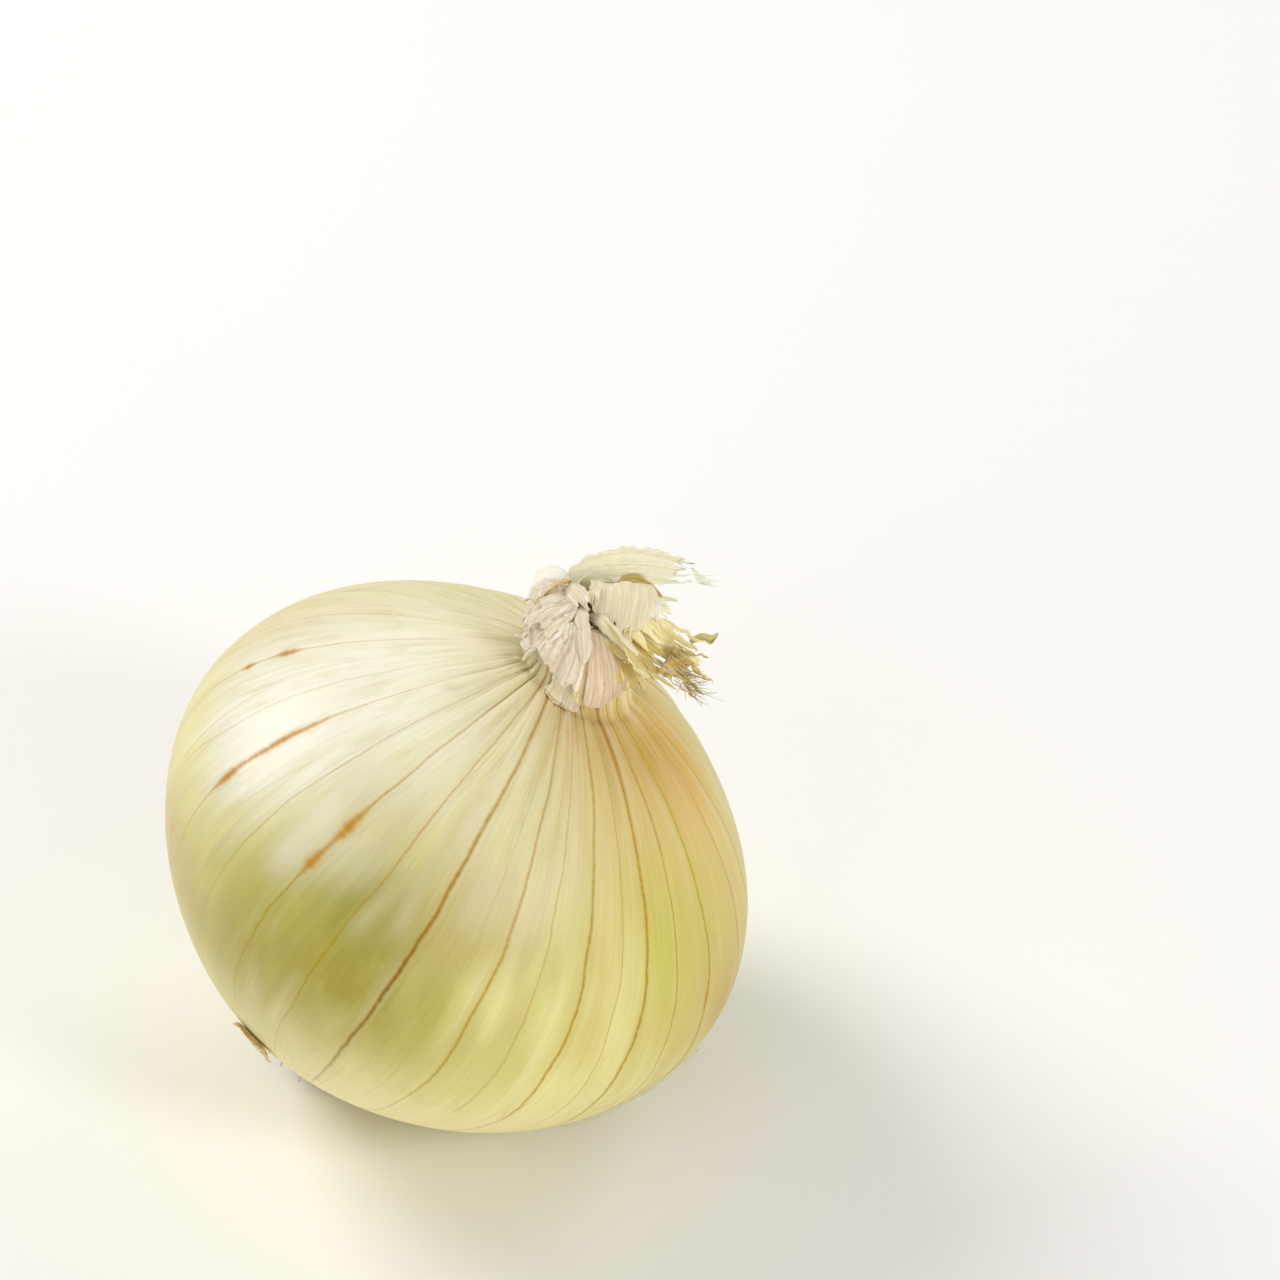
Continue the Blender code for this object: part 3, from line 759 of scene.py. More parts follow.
# dried leaf is bleached cellulose fibre: matt and papery, streaked lengthwise, and a little see-through;
# colours, and in mm the steps between its veins and between its fibres
papers = dict(
    straw=dict(
        base="#F1EDD0", streak="#DAD29C", pale="#F6F3E0", vein="#9A8A3A", veinStep=1.6, veinDepth=0.4,
        fibreStep=0.22,
    ),
    white=dict(
        base="#F9F3E6", streak="#EADFC6", pale="#FCF8EE", vein="#C2AE84", veinStep=1.9, veinDepth=0.25,
        fibreStep=0.25,
    ),
    cream=dict(
        base="#E8DCB8", streak="#D2C488", pale="#F1E9CE", vein="#A8925A", veinStep=1.2, veinDepth=0.45,
        fibreStep=0.22,
    ),
    pink=dict(
        base="#E7D6BE", streak="#CDB088", pale="#F4EAD9", vein="#A8783E", veinStep=1.3, veinDepth=0.7,
        fibreStep=0.22,
    ),
    fold=dict(
        base="#EADCC0", streak="#CDB486", pale="#F9F2E4", vein="#A8834C", veinStep=1.1, veinDepth=0.6,
        fibreStep=0.2,
    ),
    veined=dict(
        base="#D9C2A2", streak="#BF9E70", pale="#E8D6BC", vein="#AC7F48", veinStep=1.7, veinDepth=0.8,
        fibreStep=0.22,
    ),
    green=dict(
        base="#D6C07A", streak="#A88F40", pale="#F0E6B8", vein="#7A601E", veinStep=0.8, veinDepth=0.9,
        fibreStep=0.2,
    ),
    fan=dict(
        base="#F6E8AA", streak="#DEC974", pale="#FCF5D4", vein="#A8943E", veinStep=0.9, veinDepth=0.4,
        fibreStep=0.18,
    ),
    golden=dict(
        base="#D4BA66", streak="#A4842E", pale="#ECDC9C", vein="#74581A", veinStep=0.8, veinDepth=0.7,
        fibreStep=0.18,
    ),
    brown=dict(
        base="#CBAE62", streak="#8E6A26", pale="#F2E4BA", vein="#5E4317", veinStep=0.7, veinDepth=0.8,
        fibreStep=0.2,
    ),
    tan=dict(
        base="#DDC48C", streak="#B48C46", pale="#EEE0BC", vein="#8A5F2A", veinStep=1.6, veinDepth=0.4,
        fibreStep=0.25,
    ),
    olive=dict(
        base="#C2B878", streak="#8C7C30", pale="#DED6A8", vein="#5E4F18", veinStep=0.8, veinDepth=0.5,
        fibreStep=0.18,
    ),
    film=dict(
        base="#EFEBD6", streak="#D8CFA8", pale="#FAF8EE", vein="#B39A66", veinStep=2.4, veinDepth=0.3,
        fibreStep=0.3, alpha=0.1,
    ),
    veil=dict(
        base="#F2E2BC", streak="#DEC48C", pale="#F8F0D8", vein="#A8843C", veinStep=1.9, veinDepth=0.6,
        fibreStep=0.3,
    ),
)
paperFinish = {
    "IOR": 1.47, "Subsurface Weight": 0.12, "Subsurface Radius": (1.0, 0.8, 0.5),
    "Subsurface Scale": 0.0006,
}


def paperMaterial(name, paper):
    made, add = newMaterial(name)
    colours = {part: linear(paper[part]) for part in ("base", "streak", "pale", "vein")}
    place = add("UVMap", uv_map="fibre")
    # the coordinates are in cm, so a step in mm becomes 10 / step waves for 1 cm
    fine = add("VectorMath", [place, (10 / paper["fibreStep"], 1.6, 0.0)], operation="MULTIPLY")
    fibre = add("TexNoise", dict(Vector=fine, Scale=1.0, Detail=3.0, Roughness=0.65))
    broad = add("VectorMath", [place, (12.0, 2.2, 0.0)], operation="MULTIPLY")
    streak = add("TexNoise", dict(Vector=broad, Scale=1.0, Detail=3.0))
    patch = add("TexNoise", dict(Vector=place, Scale=9.0, Detail=3.0))
    bend = add("MapRange", [patch, 0.3, 0.7, -0.015, 0.015])
    split = add("SeparateXYZ", [place])
    bent = add("Math", [split, bend], operation="ADD")
    step = add("Math", [bent, 10 / paper["veinStep"]], operation="MULTIPLY")
    saw = add("Math", [step, 0.5], operation="PINGPONG")
    line = add("MapRange", [saw, 0.0, 0.09, 1.0, 0.0])
    shown = add("MapRange", [streak, 0.4, 0.6, 0.1, paper["veinDepth"]])
    veinInk = add("Math", [line, shown], operation="MULTIPLY", use_clamp=True)
    darker = add("MapRange", [fibre, 0.5, 0.72, 0.0, 0.75])
    lighter = add("MapRange", [streak, 0.45, 0.62, 0.0, 0.8])
    first = add("Mix", dict(Factor=lighter, A=colours["base"], B=colours["pale"]), data_type="RGBA")
    second = add("Mix", dict(Factor=darker, A=first, B=colours["streak"]), data_type="RGBA")
    third = add("Mix", dict(Factor=veinInk, A=second, B=colours["vein"]), data_type="RGBA")
    rough = add("MapRange", [fibre, 0.3, 0.7, 0.42, 0.62])
    bump = add("Bump", dict(Height=fibre, Strength=0.5, Distance=0.0002))
    finish = paperFinish | {"Alpha": paper.get("alpha", 1.0)}
    return finishMaterial(made, {"Base Color": third, "Roughness": rough, "Normal": bump}, finish)


paperNames = dict(
    straw="strawLeafPaper", white="bleachedLeafPaper", cream="creamLeafPaper", pink="pinkLeafPaper",
    fold="crumpledLeafPaper", veined="veinedLeafPaper", green="greenDryLeaf", fan="yellowLeafFibre",
    golden="goldenLeafFibre", brown="brownLeafTip", tan="tanOuterSkin", olive="oliveLeafScrap",
    film="clearSkinFilm", veil="innerSkinVeil",
)
paper = {name: paperMaterial(paperNames[name], papers[name]) for name in papers}

neckTip = (26.7, 0.0, 80.2)  # mm, where the leaves leave the neck

sheaths = dict(
    collar=dict(
        azimuths=(-128, 22), profile=((9.0, 79.2), (9.4, 86.0), (1.4, 87.4)), lift=0.25, flare=0.4,
        fold=0.5, rib=0.2, crinkle=0.2, rag=2.4, strands=4, splitFrom=(0.7, 0.9), shortest=0.85,
        spread=0.4, taper=0.2, twist=-14, seed=21,
    ),
    collarOver=dict(
        azimuths=(-98, -8), profile=((8.7, 81.6), (8.9, 87.4), (2.6, 88.2)), lift=0.3, fold=0.5, rib=0.24,
        crinkle=0.3, rag=3.0, strands=6, splitFrom=(0.45, 0.8), shortest=0.7, spread=0.6, taper=0.4,
        twist=-22, seed=26,
    ),
    collarInner=dict(
        azimuths=(-24, 24), profile=((8.4, 80.6), (7.8, 83.0), (5.6, 87.6)), lift=0.1, flare=0.4,
        fold=0.5, rib=0.1, crinkle=0.3, rag=1.4, strands=2, splitFrom=(0.5, 0.8), shortest=0.7,
        spread=0.5, taper=0.3, twist=-16, seed=22,
    ),
    collarBack=dict(
        azimuths=(96, 236), profile=((9.3, 78.6), (8.6, 82.4), (5.6, 86.4)), lift=0.2, fold=0.6, rib=0.1,
        crinkle=0.4, rag=2.0, strands=4, splitFrom=(0.5, 0.8), shortest=0.65, spread=0.6, taper=0.3,
        twist=14, seed=23,
    ),
    tatter=dict(
        azimuths=(-96, -40), profile=((10.4, 77.2), (9.0, 78.8), (7.9, 83.0)), lift=0.3, flare=0.6,
        fold=0.6, rib=0.1, crinkle=0.5, rag=3.4, strands=6, splitFrom=(0.25, 0.6), shortest=0.5,
        spread=0.9, taper=0.7, twist=-10, seed=27,
    ),
    flap=dict(
        azimuths=(23, 80), profile=((9.7, 76.9), (9.0, 84.4), (4.4, 87.0)), lift=0.35, flare=0.1,
        fold=0.22, rib=0.05, crinkle=0.1, rag=0.5, slant=0.5, twist=-6, seed=24,
    ),
    flapEdge=dict(
        azimuths=(12, 28), profile=((9.7, 76.8), (9.0, 83.6), (6.0, 86.0)), lift=0.15, flare=0.1,
        fold=0.3, rib=0.06, rag=0.8, reach=1.1, twist=-6, seed=28,
    ),
    flapSide=dict(
        azimuths=(56, 104), profile=((9.2, 79.4), (9.0, 85.0), (4.4, 86.8)), lift=0.15, flare=0.2,
        fold=0.3, rib=0.08, rag=1.6, strands=2, splitFrom=(0.6, 0.9), spread=0.3, taper=0.1, seed=25,
    ),
)

leaves = dict(
    leafStrip=dict(
        route=[
            (-3.6, 4.2, 2.4), (-1.9, 4.8, 3.9), (1.2, 5.2, 4.6), (5.9, 5.2, 4.9), (10.7, 4.6, 4.6),
            (15.0, 4.0, 4.0),
        ],
        widths=[1.2, 3.4, 4.6, 5.4, 5.0, 3.8, 2.6],
        faces=[(0.1, 0.5, 0.86), (0.12, 0.35, 0.93), (0.2, 0.3, 0.93)], fold=0.3, rib=0.12, crinkle=0.12,
        rag=1.4, edgeRag=0.5, strands=9, splitFrom=(0.72, 0.9), shortest=0.82, spread=0.7, taper=0.75,
        seed=1,
    ),
    stripRoot=dict(
        route=[(-0.4, 1.2, -1.0), (-1.8, 2.6, 0.6), (-1.7, 3.6, 1.6), (0.8, 4.2, 2.3), (4.0, 4.2, 2.9)],
        widths=[2.6, 3.4, 3.6, 3.4, 2.4], faces=[(0.9, 0.3, 0.2), (0.5, 0.3, 0.8), (0.1, 0.4, 0.9)],
        bow=0.2, fold=0.4, rib=0.14, rag=1.0, strands=3, seed=2,
    ),
    whiteCurl=dict(
        route=[(-3.4, 2.3, 2.1), (-5.2, 3.3, 3.4), (-7.2, 3.6, 2.9), (-8.8, 3.1, 1.2), (-9.1, 1.9, -0.6)],
        widths=[2.4, 3.8, 4.4, 3.8, 2.6], faces=[(-0.5, 0.55, 0.65), (0.1, 0.7, 0.7), (0.5, 0.7, 0.4)],
        bow=0.35, fold=0.15, rib=0.05, rag=0.8, seed=3,
    ),
    tanStrip=dict(
        route=[
            (-3.0, 0.7, 5.4), (-4.4, 0.4, 5.7), (-6.2, -0.1, 4.6), (-8.1, -1.2, 3.4), (-8.9, -2.1, 2.0),
        ],
        widths=[1.2, 1.7, 1.8, 1.5, 0.8], faces=[(0.35, -0.3, 0.9), (0.4, -0.3, 0.85)], fold=0.3,
        rib=0.12, rag=1.0, crinkle=0.25, strands=2, seed=4,
    ),
    whiteFold=dict(
        route=[
            (-1.0, 1.3, 1.8), (-3.4, 0.9, 3.2), (-6.0, -0.7, 2.8), (-8.2, -2.7, 0.8), (-9.2, -3.9, -1.2),
        ],
        widths=[2.0, 2.8, 3.0, 2.6, 1.4], faces=[(0.4, -0.3, 0.85), (0.4, -0.4, 0.8)], bow=-0.2,
        crinkle=0.3, rag=1.8, strands=3, seed=5,
    ),
    midFold=dict(
        route=[(-0.2, 1.4, 0.4), (-0.9, 1.0, 2.6), (-1.6, -0.2, 3.6), (-2.2, -1.8, 3.0)],
        widths=[3.4, 5.2, 5.4, 3.4], faces=[(0.9, 0.3, 0.1), (0.9, 0.4, 0.1)], bow=-0.1, fold=0.4,
        rib=0.15, crinkle=0.25, rag=1.4, strands=3, seed=6,
    ),
    gapFold=dict(
        route=[(-3.6, 0.2, 5.0), (-2.8, -1.2, 5.0), (-1.8, -2.1, 4.4), (-0.8, -2.6, 3.2)],
        widths=[2.2, 3.4, 3.4, 2.0], faces=[(0.8, 0.45, 0.4), (0.8, 0.5, 0.3)], bow=-0.25, fold=0.3,
        rib=0.12, crinkle=0.25, rag=1.0, strands=2, seed=18,
    ),
    rimFold=dict(
        route=[
            (-1.1, -0.2, 1.6), (-1.9, -2.8, 3.1), (-1.8, -5.4, 2.4), (-1.5, -7.4, -0.2),
            (-1.4, -8.4, -2.6),
        ],
        widths=[1.6, 2.2, 2.6, 2.4, 1.6], faces=[(0.95, 0.2, 0.2), (0.95, -0.2, 0.2)], bow=-0.35,
        fold=0.25, rib=0.08, crinkle=0.15, rag=1.0, seed=19,
    ),
    squareFlap=dict(
        route=[
            (2.6, 2.6, 0.6), (3.4, 3.0, 3.2), (3.9, 1.4, 4.0), (3.9, -0.8, 3.2), (3.6, -3.0, 1.2),
            (3.4, -4.2, -0.4),
        ],
        widths=[5.0, 8.0, 9.4, 9.2, 7.0, 4.6], faces=[(1.0, 0.0, 0.05), (1.0, 0.15, -0.1)], bow=-0.06,
        fold=0.7, foldStep=3.2, rib=0.03, crinkle=0.14, rag=1.4, edgeRag=0.6, strands=3,
        splitFrom=(0.8, 0.95), shortest=0.9, spread=0.3, taper=0.3, seed=7,
    ),
    squareSide=dict(
        route=[(2.1, 1.4, 0.4), (5.1, 1.6, 2.6), (7.2, 0.2, 1.8), (8.0, -0.8, 0.0), (8.2, -1.2, -1.4)],
        widths=[2.0, 3.0, 3.4, 3.0, 1.8], faces=[(0.6, 0.6, -0.3), (0.8, 0.4, 0.3)], rib=0.14, rag=1.2,
        strands=3, seed=8,
    ),
    yellowFibre=dict(
        route=[(1.6, 2.4, 0.4), (4.8, 3.4, 2.8), (7.0, 3.2, 2.3), (8.6, 2.6, 0.7), (9.2, 2.2, -1.1)],
        widths=[2.0, 2.6, 2.4, 2.0, 1.4], faces=[(0.3, 0.6, 0.7), (0.7, 0.5, 0.4)], rib=0.2, rag=1.0,
        strands=5, splitFrom=(0.3, 0.7), seed=9,
    ),
    paleFlap=dict(
        route=[(5.6, 2.4, -0.8), (8.1, 2.6, 0.0), (9.8, 2.6, -0.3), (11.2, 2.3, -1.2)],
        widths=[1.8, 2.6, 2.6, 1.8], faces=[(0.1, 0.5, 0.85), (0.3, 0.4, 0.85)], fold=0.3, rag=0.8,
        strands=3, seed=10,
    ),
    twistedLeaf=dict(
        route=[
            (0.2, -2.3, 0.7), (1.3, -3.9, 1.1), (3.5, -5.2, -1.1), (6.0, -5.9, -3.7), (7.7, -6.7, -6.0),
            (8.2, -7.2, -7.3),
        ],
        widths=[2.3, 2.9, 3.6, 3.2, 2.3, 1.1],
        faces=[(0.6, 0.1, 0.8), (0.7, -0.3, 0.65), (0.2, -0.9, 0.4), (0.7, -0.6, 0.4)], bow=0.5, fold=0.2,
        rib=0.12, rag=0.8, strands=2, splitFrom=(0.7, 0.8), spread=0.3, seed=11,
    ),
    twistRidge=dict(
        route=[
            (-0.7, -2.3, 1.8), (1.0, -4.3, 2.3), (3.2, -5.2, 0.4), (5.4, -5.8, -1.9), (6.9, -6.2, -3.4),
        ],
        widths=[1.2, 1.8, 1.8, 1.4, 0.8], faces=[(0.5, 0.2, 0.8), (0.7, 0.4, 0.6)], bow=-0.3, fold=0.15,
        seed=12,
    ),
    fibreFan=dict(
        route=[
            (2.3, 0.6, -0.5), (5.6, 0.0, -2.8), (8.9, -0.8, -4.8), (11.9, -1.6, -6.6), (16.0, -2.4, -9.0),
        ],
        widths=[4.8, 6.7, 7.9, 8.2, 7.4], faces=[(0.5, 0.5, 0.7), (0.5, 0.5, 0.7)], bow=0.12, fold=0.4,
        rib=0.22, crinkle=0.15, rag=2.0, edgeRag=0.6, strands=14, splitFrom=(0.45, 0.85), shortest=0.7,
        spread=0.9, taper=0.8, seed=13,
    ),
    fanUpper=dict(
        route=[
            (0.4, -0.4, 0.6), (2.4, -1.6, 1.5), (5.0, -2.4, -0.2), (7.6, -2.8, -2.9), (9.6, -3.2, -5.2),
        ],
        widths=[4.0, 5.6, 6.0, 5.4, 4.0], faces=[(0.6, 0.5, 0.6), (0.6, 0.4, 0.6)], fold=0.4, rib=0.2,
        crinkle=0.15, rag=1.6, strands=8, splitFrom=(0.5, 0.85), shortest=0.7, spread=0.7, taper=0.7,
        seed=20,
    ),
    fanLower=dict(
        route=[(1.2, -1.0, -0.5), (4.5, -2.2, -3.2), (7.2, -3.2, -5.4), (9.8, -4.2, -7.6)],
        widths=[3.4, 4.6, 4.8, 4.1], faces=[(0.6, 0.4, 0.6), (0.6, 0.4, 0.6)], bow=0.15, fold=0.4,
        rib=0.22, rag=1.6, strands=8, splitFrom=(0.5, 0.85), spread=0.7, taper=0.7, seed=14,
    ),
    brownTips=dict(
        route=[(9.9, -3.2, -5.4), (12.4, -4.0, -7.2), (14.6, -4.4, -9.0), (17.2, -4.4, -10.8)],
        widths=[2.6, 3.8, 4.2, 3.2], faces=[(0.6, 0.4, 0.6), (0.5, 0.5, 0.6)], bow=0.3, fold=0.7, rib=0.3,
        crinkle=0.7, rag=2.2, edgeRag=0.8, strands=15, splitFrom=(0.1, 0.5), shortest=0.45, spread=1.5,
        taper=0.85, seed=15,
    ),
    brownCurl=dict(
        route=[(10.4, -2.0, -4.8), (13.0, -2.6, -6.2), (15.6, -2.9, -7.6), (18.0, -2.6, -8.8)],
        widths=[2.2, 3.1, 3.4, 2.2], faces=[(0.6, 0.4, 0.6), (0.3, 0.8, 0.4)], bow=0.4, fold=0.7, rib=0.3,
        crinkle=0.7, rag=2.0, edgeRag=0.7, strands=12, splitFrom=(0.1, 0.5), shortest=0.4, spread=1.4,
        taper=0.85, seed=16,
    ),
    leafBit=dict(
        route=[(13.2, 1.0, -5.3), (14.8, 1.5, -5.0), (16.1, 1.8, -5.7), (17.3, 1.7, -5.0)],
        widths=[0.6, 1.0, 1.2, 0.6], faces=[(0.1, 0.5, 0.85), (0.0, 0.8, 0.5)], bow=0.5, fold=0.2,
        rib=0.08, rag=0.4, edgeRag=0.15, seed=17,
    ),
)


coreStubs = dict(count=20, ring=4.6, lean=(0.2, 0.7), tall=(0.7, 1.7), foot=-3.0, seed=31)
coreStub = dict(
    widths=[3.4, 3.6, 3.2, 2.2], bow=-0.4, fold=0.45, rib=0.2, crinkle=0.3, rag=1.6, edgeRag=0.4,
    strands=5, splitFrom=(0.5, 0.8), shortest=0.7, spread=0.6, taper=0.5,
)


def makeCore(material):
    # the stubs of the inner leaves, standing in the neck and bent with it
    rng = random.Random(coreStubs["seed"])
    stubs = []
    for i in range(coreStubs["count"]):
        angle = math.tau * i / coreStubs["count"] + rng.uniform(-0.3, 0.3)
        ring = coreStubs["ring"] * math.sqrt(rng.random())
        x, y = ring * math.cos(angle), ring * math.sin(angle)
        lean = rng.uniform(*coreStubs["lean"])
        tall = rng.uniform(*coreStubs["tall"])
        route = [
            (x, y, coreStubs["foot"]), (x * 1.1, y * 1.1, -0.5),
            (x * 1.2 + lean, y * 1.2 + 0.4, tall * 0.5), (x * 1.3 + 2 * lean, y * 1.4 + 0.8, tall),
        ]
        across = (-math.sin(angle), math.cos(angle), 0.1)
        stub = coreStub | dict(route=route, faces=[across, across], seed=40 + i)
        stubs.append(makeLeaf("stub", stub, neckTip, material))
    return joinPieces("neckCore", stubs)


# threads torn from the leaves' ends: between which two points they start, and the way that they point
threads = dict(
    stripEnd=dict(
        ends=[(13.2, 4.2, 5.2), (14.2, 4.0, 2.6)], ahead=(0.97, 0.0, -0.15), count=16, reach=3.2,
        scatter=0.12, seed=51,
    ),
    fanEnd=dict(
        ends=[(11.5, -1.0, -4.6), (11.0, -3.4, -8.6)], ahead=(0.7, -0.3, -0.5), count=26, reach=3.4,
        scatter=0.3, seed=52,
    ),
    tipEnd=dict(
        ends=[(11.5, -2.6, -6.6), (13.0, -4.8, -10.0)], ahead=(0.75, -0.1, -0.4), count=44, reach=4.2,
        scatter=0.45, seed=54,
    ),
    flapEnd=dict(
        ends=[(-6.0, -4.5, -4.0), (-8.5, -1.0, -2.0)], ahead=(-0.6, -0.3, -0.5), count=10, reach=2.2,
        scatter=0.3, seed=53,
    ),
)
threadRadius = 0.055

# each finished piece: its sheets and threads with their paper, its slot and the solid that it replaces
neckPieces = dict(
    neckCollar=dict(
        sheets=dict(
            collar="pink", collarOver="fold", collarInner="pink", collarBack="pink", tatter="fold",
            tanStrip="tan", whiteFold="fold", midFold="cream", gapFold="fold", rimFold="pink",
        ),
        threads=dict(flapEnd="white"), slot="pink_papery_leaf", solid="neck_collar",
    ),
    shoulderFlap=dict(
        sheets=dict(flap="veined", flapEdge="tan", flapSide="golden"), slot="pink_papery_leaf",
        solid="shoulder_flap",
    ),
    leafStrip=dict(
        sheets=dict(leafStrip="straw", stripRoot="straw"), threads=dict(stripEnd="straw"),
        slot="straw_leaf", solid="leaf_strip",
    ),
    whiteCurl=dict(sheets=dict(whiteCurl="white"), slot="papery_leaf", solid="white_curl"),
    squareFlap=dict(
        sheets=dict(squareFlap="cream", squareSide="white"), slot="papery_leaf", solid="square_flap",
    ),
    paleFlap=dict(sheets=dict(paleFlap="straw"), slot="papery_leaf", solid="pale_flap"),
    twistedLeaf=dict(
        sheets=dict(twistedLeaf="green", twistRidge="cream"), slot="green_dry_leaf", solid="twisted_leaf",
    ),
    fibreFan=dict(
        sheets=dict(fibreFan="fan", fanUpper="fan", fanLower="golden", yellowFibre="golden"),
        threads=dict(fanEnd="fan"), slot="straw_leaf", solid="fibre_fan",
    ),
    brownTips=dict(
        sheets=dict(brownTips="brown", brownCurl="brown"), threads=dict(tipEnd="brown"),
        slot="brown_leaf_tip", solid="brown_tips",
    ),
    leafBit=dict(sheets=dict(leafBit="olive"), slot="green_dry_leaf", solid="leaf_bit"),
)


def threadLines(thread):
    rng = random.Random(thread["seed"])
    first, last = (Vector(end) for end in thread["ends"])
    lines = []
    for _ in range(thread["count"]):
        start = Vector(neckTip) + first.lerp(last, rng.random())
        aside = Vector([rng.gauss(0, thread["scatter"]) for _ in range(3)])
        way = (Vector(thread["ahead"]) + aside).normalized()
        curl = Vector([rng.gauss(0, 0.5) for _ in range(3)]) * 0.4
        length = thread["reach"] * rng.uniform(0.5, 1)
        lines.append([(start + (way * t + curl * t * t) * length) * mm for t in np.linspace(0, 1, 7)])
    return lines


def makeNeck():
    print("neck: sheaths and leaves")
    for name, piece in neckPieces.items():
        made = []
        for sheet, kind in piece["sheets"].items():
            if sheet in sheaths:
                made.append(makeSheath(sheet, sheaths[sheet], paper[kind]))
            else:
                made.append(makeLeaf(sheet, leaves[sheet], neckTip, paper[kind]))
        for thread, kind in piece.get("threads", {}).items():
            lines = threadLines(threads[thread])
            made.append(makeThreads(thread, lines, [threadRadius] * len(lines), paper[kind]))
        finishPiece(joinPieces(name, made), piece["slot"], piece["solid"])
    finishPiece(makeCore(paper["fan"]), "straw_leaf")
    print("neck:", len(neckPieces) + 1, "pieces")


makeNeck()

films = dict(
    hemFilm=dict(
        azimuths=(-16, 22), lengths=(115.2, 121.0), lift=0.2, peel=0.15, rag=1.6, thickness=0.06, seed=61,
        paper="veil", slot="papery_leaf", solid="hem_film",
    ),
    skinScrap=dict(
        azimuths=(-25, -10), lengths=(26.5, 33.5), lift=0.3, peel=0.7, rag=0.9, seed=62, paper="tan",
        slot="dry_outer_skin", solid="skin_scrap",
    ),
    skinFilm=dict(
        azimuths=(66, 98), lengths=(38.0, 62.0), lift=0.3, peel=0.25, rag=2.2, round=0.25, seed=63,
        paper="film", slot="papery_leaf", solid="skin_film",
    ),
)
print("skin: loose films")
for name, film in films.items():
    finishPiece(makeFilm(name, film, paper[film["paper"]]), film["slot"], film["solid"])


# ---- the roots: a dry tuft of cut rootlets under the root plate
rootlets = dict(count=150, plate=6.2, longest=4.6, shortest=1.8, radius=0.28, splay=0.9, seed=71)
# dried root: dull brown, wrinkled cork, with wrinkles about 1 mm apart
rootColours = ("#8F7445", "#D5C090")


def makeRoots():
    print("roots: rootlets")
    rng = random.Random(rootlets["seed"])
    turn = np.array(pose)[:3, :3]
    lines, widths = [], []
    for _ in range(rootlets["count"]):
        ring = rootlets["plate"] * math.sqrt(rng.random())
        angle = rng.uniform(0, math.tau)
        start = np.array([ring * math.cos(angle), ring * math.sin(angle), 0.3])
        splay = 0.25 + rootlets["splay"] * ring / rootlets["plate"]
        outward = np.array([math.cos(angle), math.sin(angle), 0]) * splay
        way = np.array([0, 0, -1.0]) + outward + np.array([rng.gauss(0, 0.3) for _ in range(3)])
        way /= np.linalg.norm(way)
        curl = np.array([rng.gauss(0, 0.5) for _ in range(3)])
        length = rng.uniform(rootlets["shortest"], rootlets["longest"])
        line = []
        for t in np.linspace(0, 1, 8):
            local = start + way * length * t + curl * length * t * t * 0.5
            world = local * mm @ turn.T + np.array(pose)[:3, 3]
            world[2] = max(world[2], (0.3 + 0.25 * rng.random()) * mm)
            line.append(world)
        lines.append(line)
        widths.append(rootlets["radius"] * rng.uniform(0.6, 1))
    return makeThreads("rootTuft", lines, widths, rootMaterial())


def rootMaterial():
    made, add = newMaterial("driedRootlet")
    dark, light = (linear(code) for code in rootColours)
    place = add("TexCoord")
    grain = add("TexNoise", dict(Vector=place.outputs["Object"], Scale=900.0, Detail=3.0))
    shade = add("MapRange", [grain, 0.35, 0.65, 0.0, 1.0])
    colour = add("Mix", dict(Factor=shade, A=dark, B=light), data_type="RGBA")
    bump = add("Bump", dict(Height=grain, Strength=0.5, Distance=0.0002))
    return finishMaterial(made, {"Base Color": colour, "Normal": bump}, {"Roughness": 0.8})


finishPiece(makeRoots(), "rootlets", "root_tuft")


# ---- floor, light and camera
floorSettings = dict(size=3.0, drop=0.0002, colour="#F4F3F0", roughness=(0.7, 0.8))


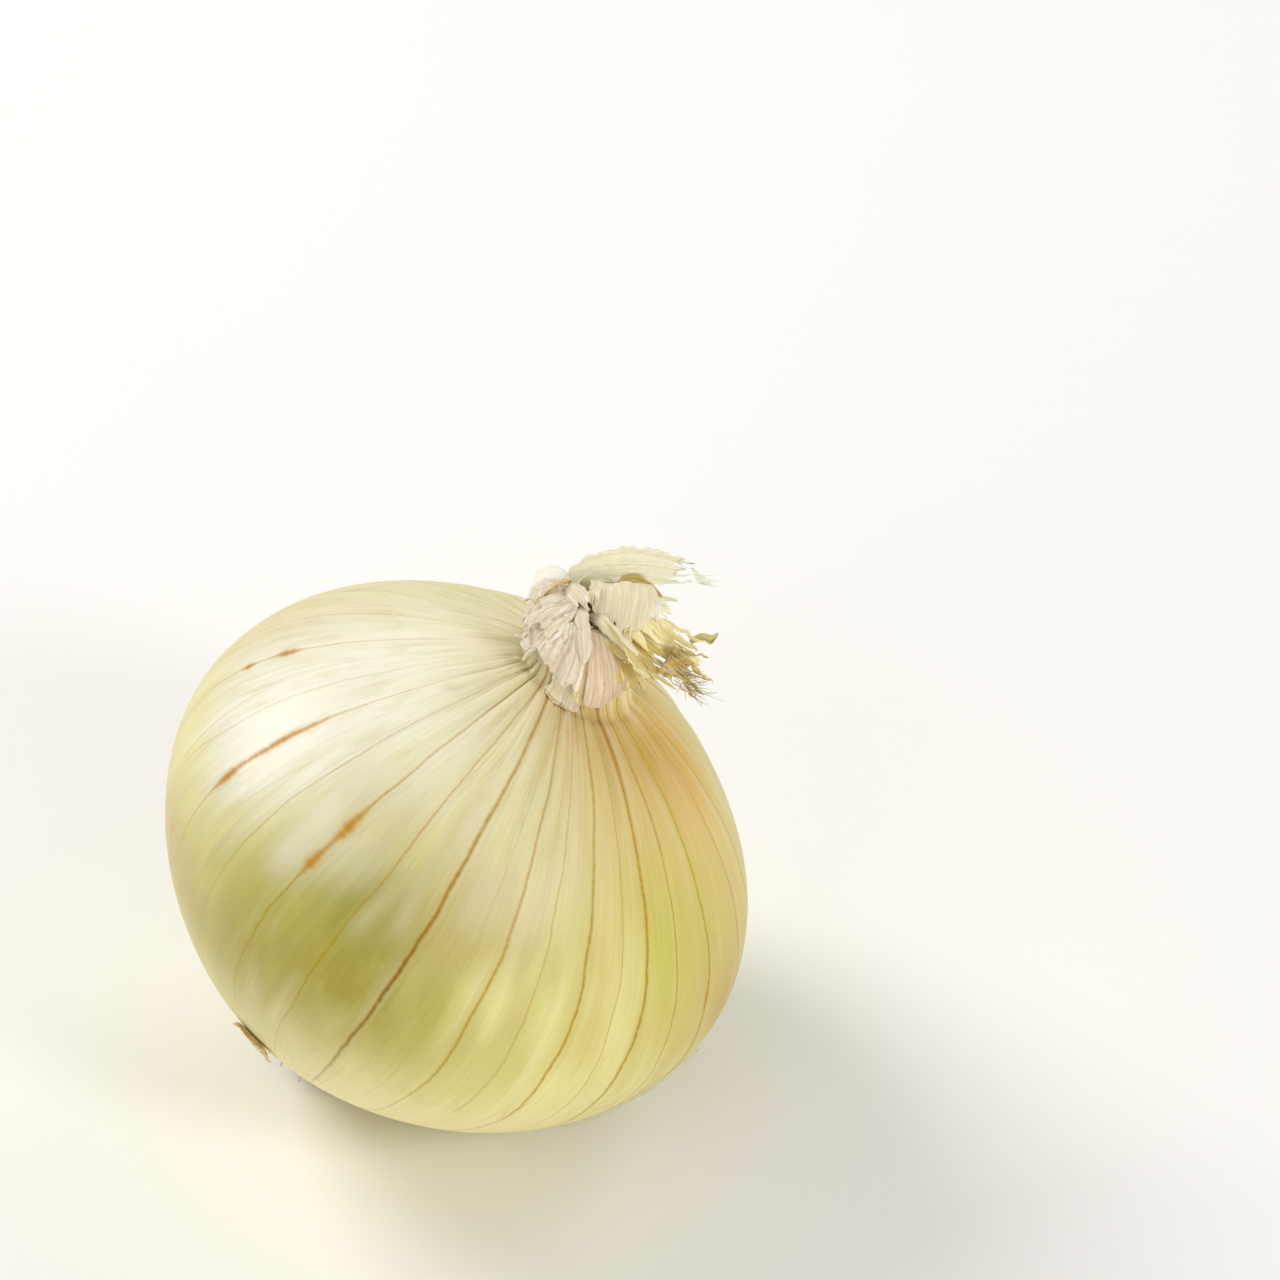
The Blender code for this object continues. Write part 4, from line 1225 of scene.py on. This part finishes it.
def makeFloor():
    deselectAll()
    bpy.ops.mesh.primitive_plane_add(size=floorSettings["size"], location=(0, 0, -floorSettings["drop"]))
    floor = bpy.context.object
    floor.name = "floor"
    paint, add = newMaterial("floorPaint")  # matt white paint, the plain ground of a studio table
    spots = add("TexNoise", dict(Scale=60.0, Detail=2.0))
    dull, duller = floorSettings["roughness"]
    rough = add("MapRange", [spots, 0.0, 1.0, dull, duller])
    finishMaterial(paint, {"Roughness": rough}, {"Base Color": linear(floorSettings["colour"])})
    floor.data.materials.append(paint)
    floor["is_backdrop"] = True


# name: direction from the onion, distance and size in m, power in W
lamps = dict(
    key=dict(towards=(-0.62, 0.42, 0.66), distance=1.0, size=0.55, power=6.2, colour="#FFFDF8"),
    front=dict(towards=(0.62, -0.58, 0.52), distance=1.2, size=0.3, power=4.0, colour="#FFFFFF"),
    fill=dict(towards=(-0.5, -0.75, 0.45), distance=1.4, size=1.0, power=2.4, colour="#FFFFFF"),
    low=dict(towards=(0.42, -0.9, 0.04), distance=1.2, size=0.5, power=4.2, colour="#FFF6E0"),
    back=dict(towards=(0.7, 0.65, 0.5), distance=1.2, size=0.6, power=3, colour="#FFFFFF"),
)
worldLight = dict(colour="#FFFFFF", strength=0.4)
cameraSettings = dict(elevation=38.8, distance=1.5, field=176.4, aim=(33.0, 0.0, 75.97), sensor=36.0)


def makeLights():
    middle = Vector(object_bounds()[0]).lerp(Vector(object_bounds()[1]), 0.5)
    for name, lamp in lamps.items():
        deselectAll()
        towards = Vector(lamp["towards"]).normalized()
        bpy.ops.object.light_add(type="AREA", location=middle + towards * lamp["distance"])
        light = bpy.context.object
        light.name = name + "Light"
        light.rotation_euler = towards.to_track_quat("Z", "Y").to_euler()
        light.data.shape = "DISK"
        light.data.size = lamp["size"]
        light.data.energy = lamp["power"]
        light.data.color = linear(lamp["colour"])[:3]
    world = bpy.data.worlds.new("studio")
    bpy.context.scene.world = world
    world.use_nodes = True
    sky = world.node_tree.nodes["Background"]
    sky.inputs["Color"].default_value = linear(worldLight["colour"])
    sky.inputs["Strength"].default_value = worldLight["strength"]


def makeCamera():
    deselectAll()
    rise = math.radians(cameraSettings["elevation"])
    aim = Vector(cameraSettings["aim"]) * mm
    back = Vector((0, -math.cos(rise), math.sin(rise)))
    bpy.ops.object.camera_add(location=aim + back * cameraSettings["distance"])
    camera = bpy.context.object
    camera.rotation_euler = back.to_track_quat("Z", "Y").to_euler()
    camera.data.sensor_width = cameraSettings["sensor"]
    shows = cameraSettings["field"] * mm / cameraSettings["distance"]
    camera.data.lens = cameraSettings["sensor"] / shows
    bpy.context.scene.camera = camera


bpy.context.scene.view_settings.view_transform = "Standard"
makeFloor()
makeLights()
makeCamera()
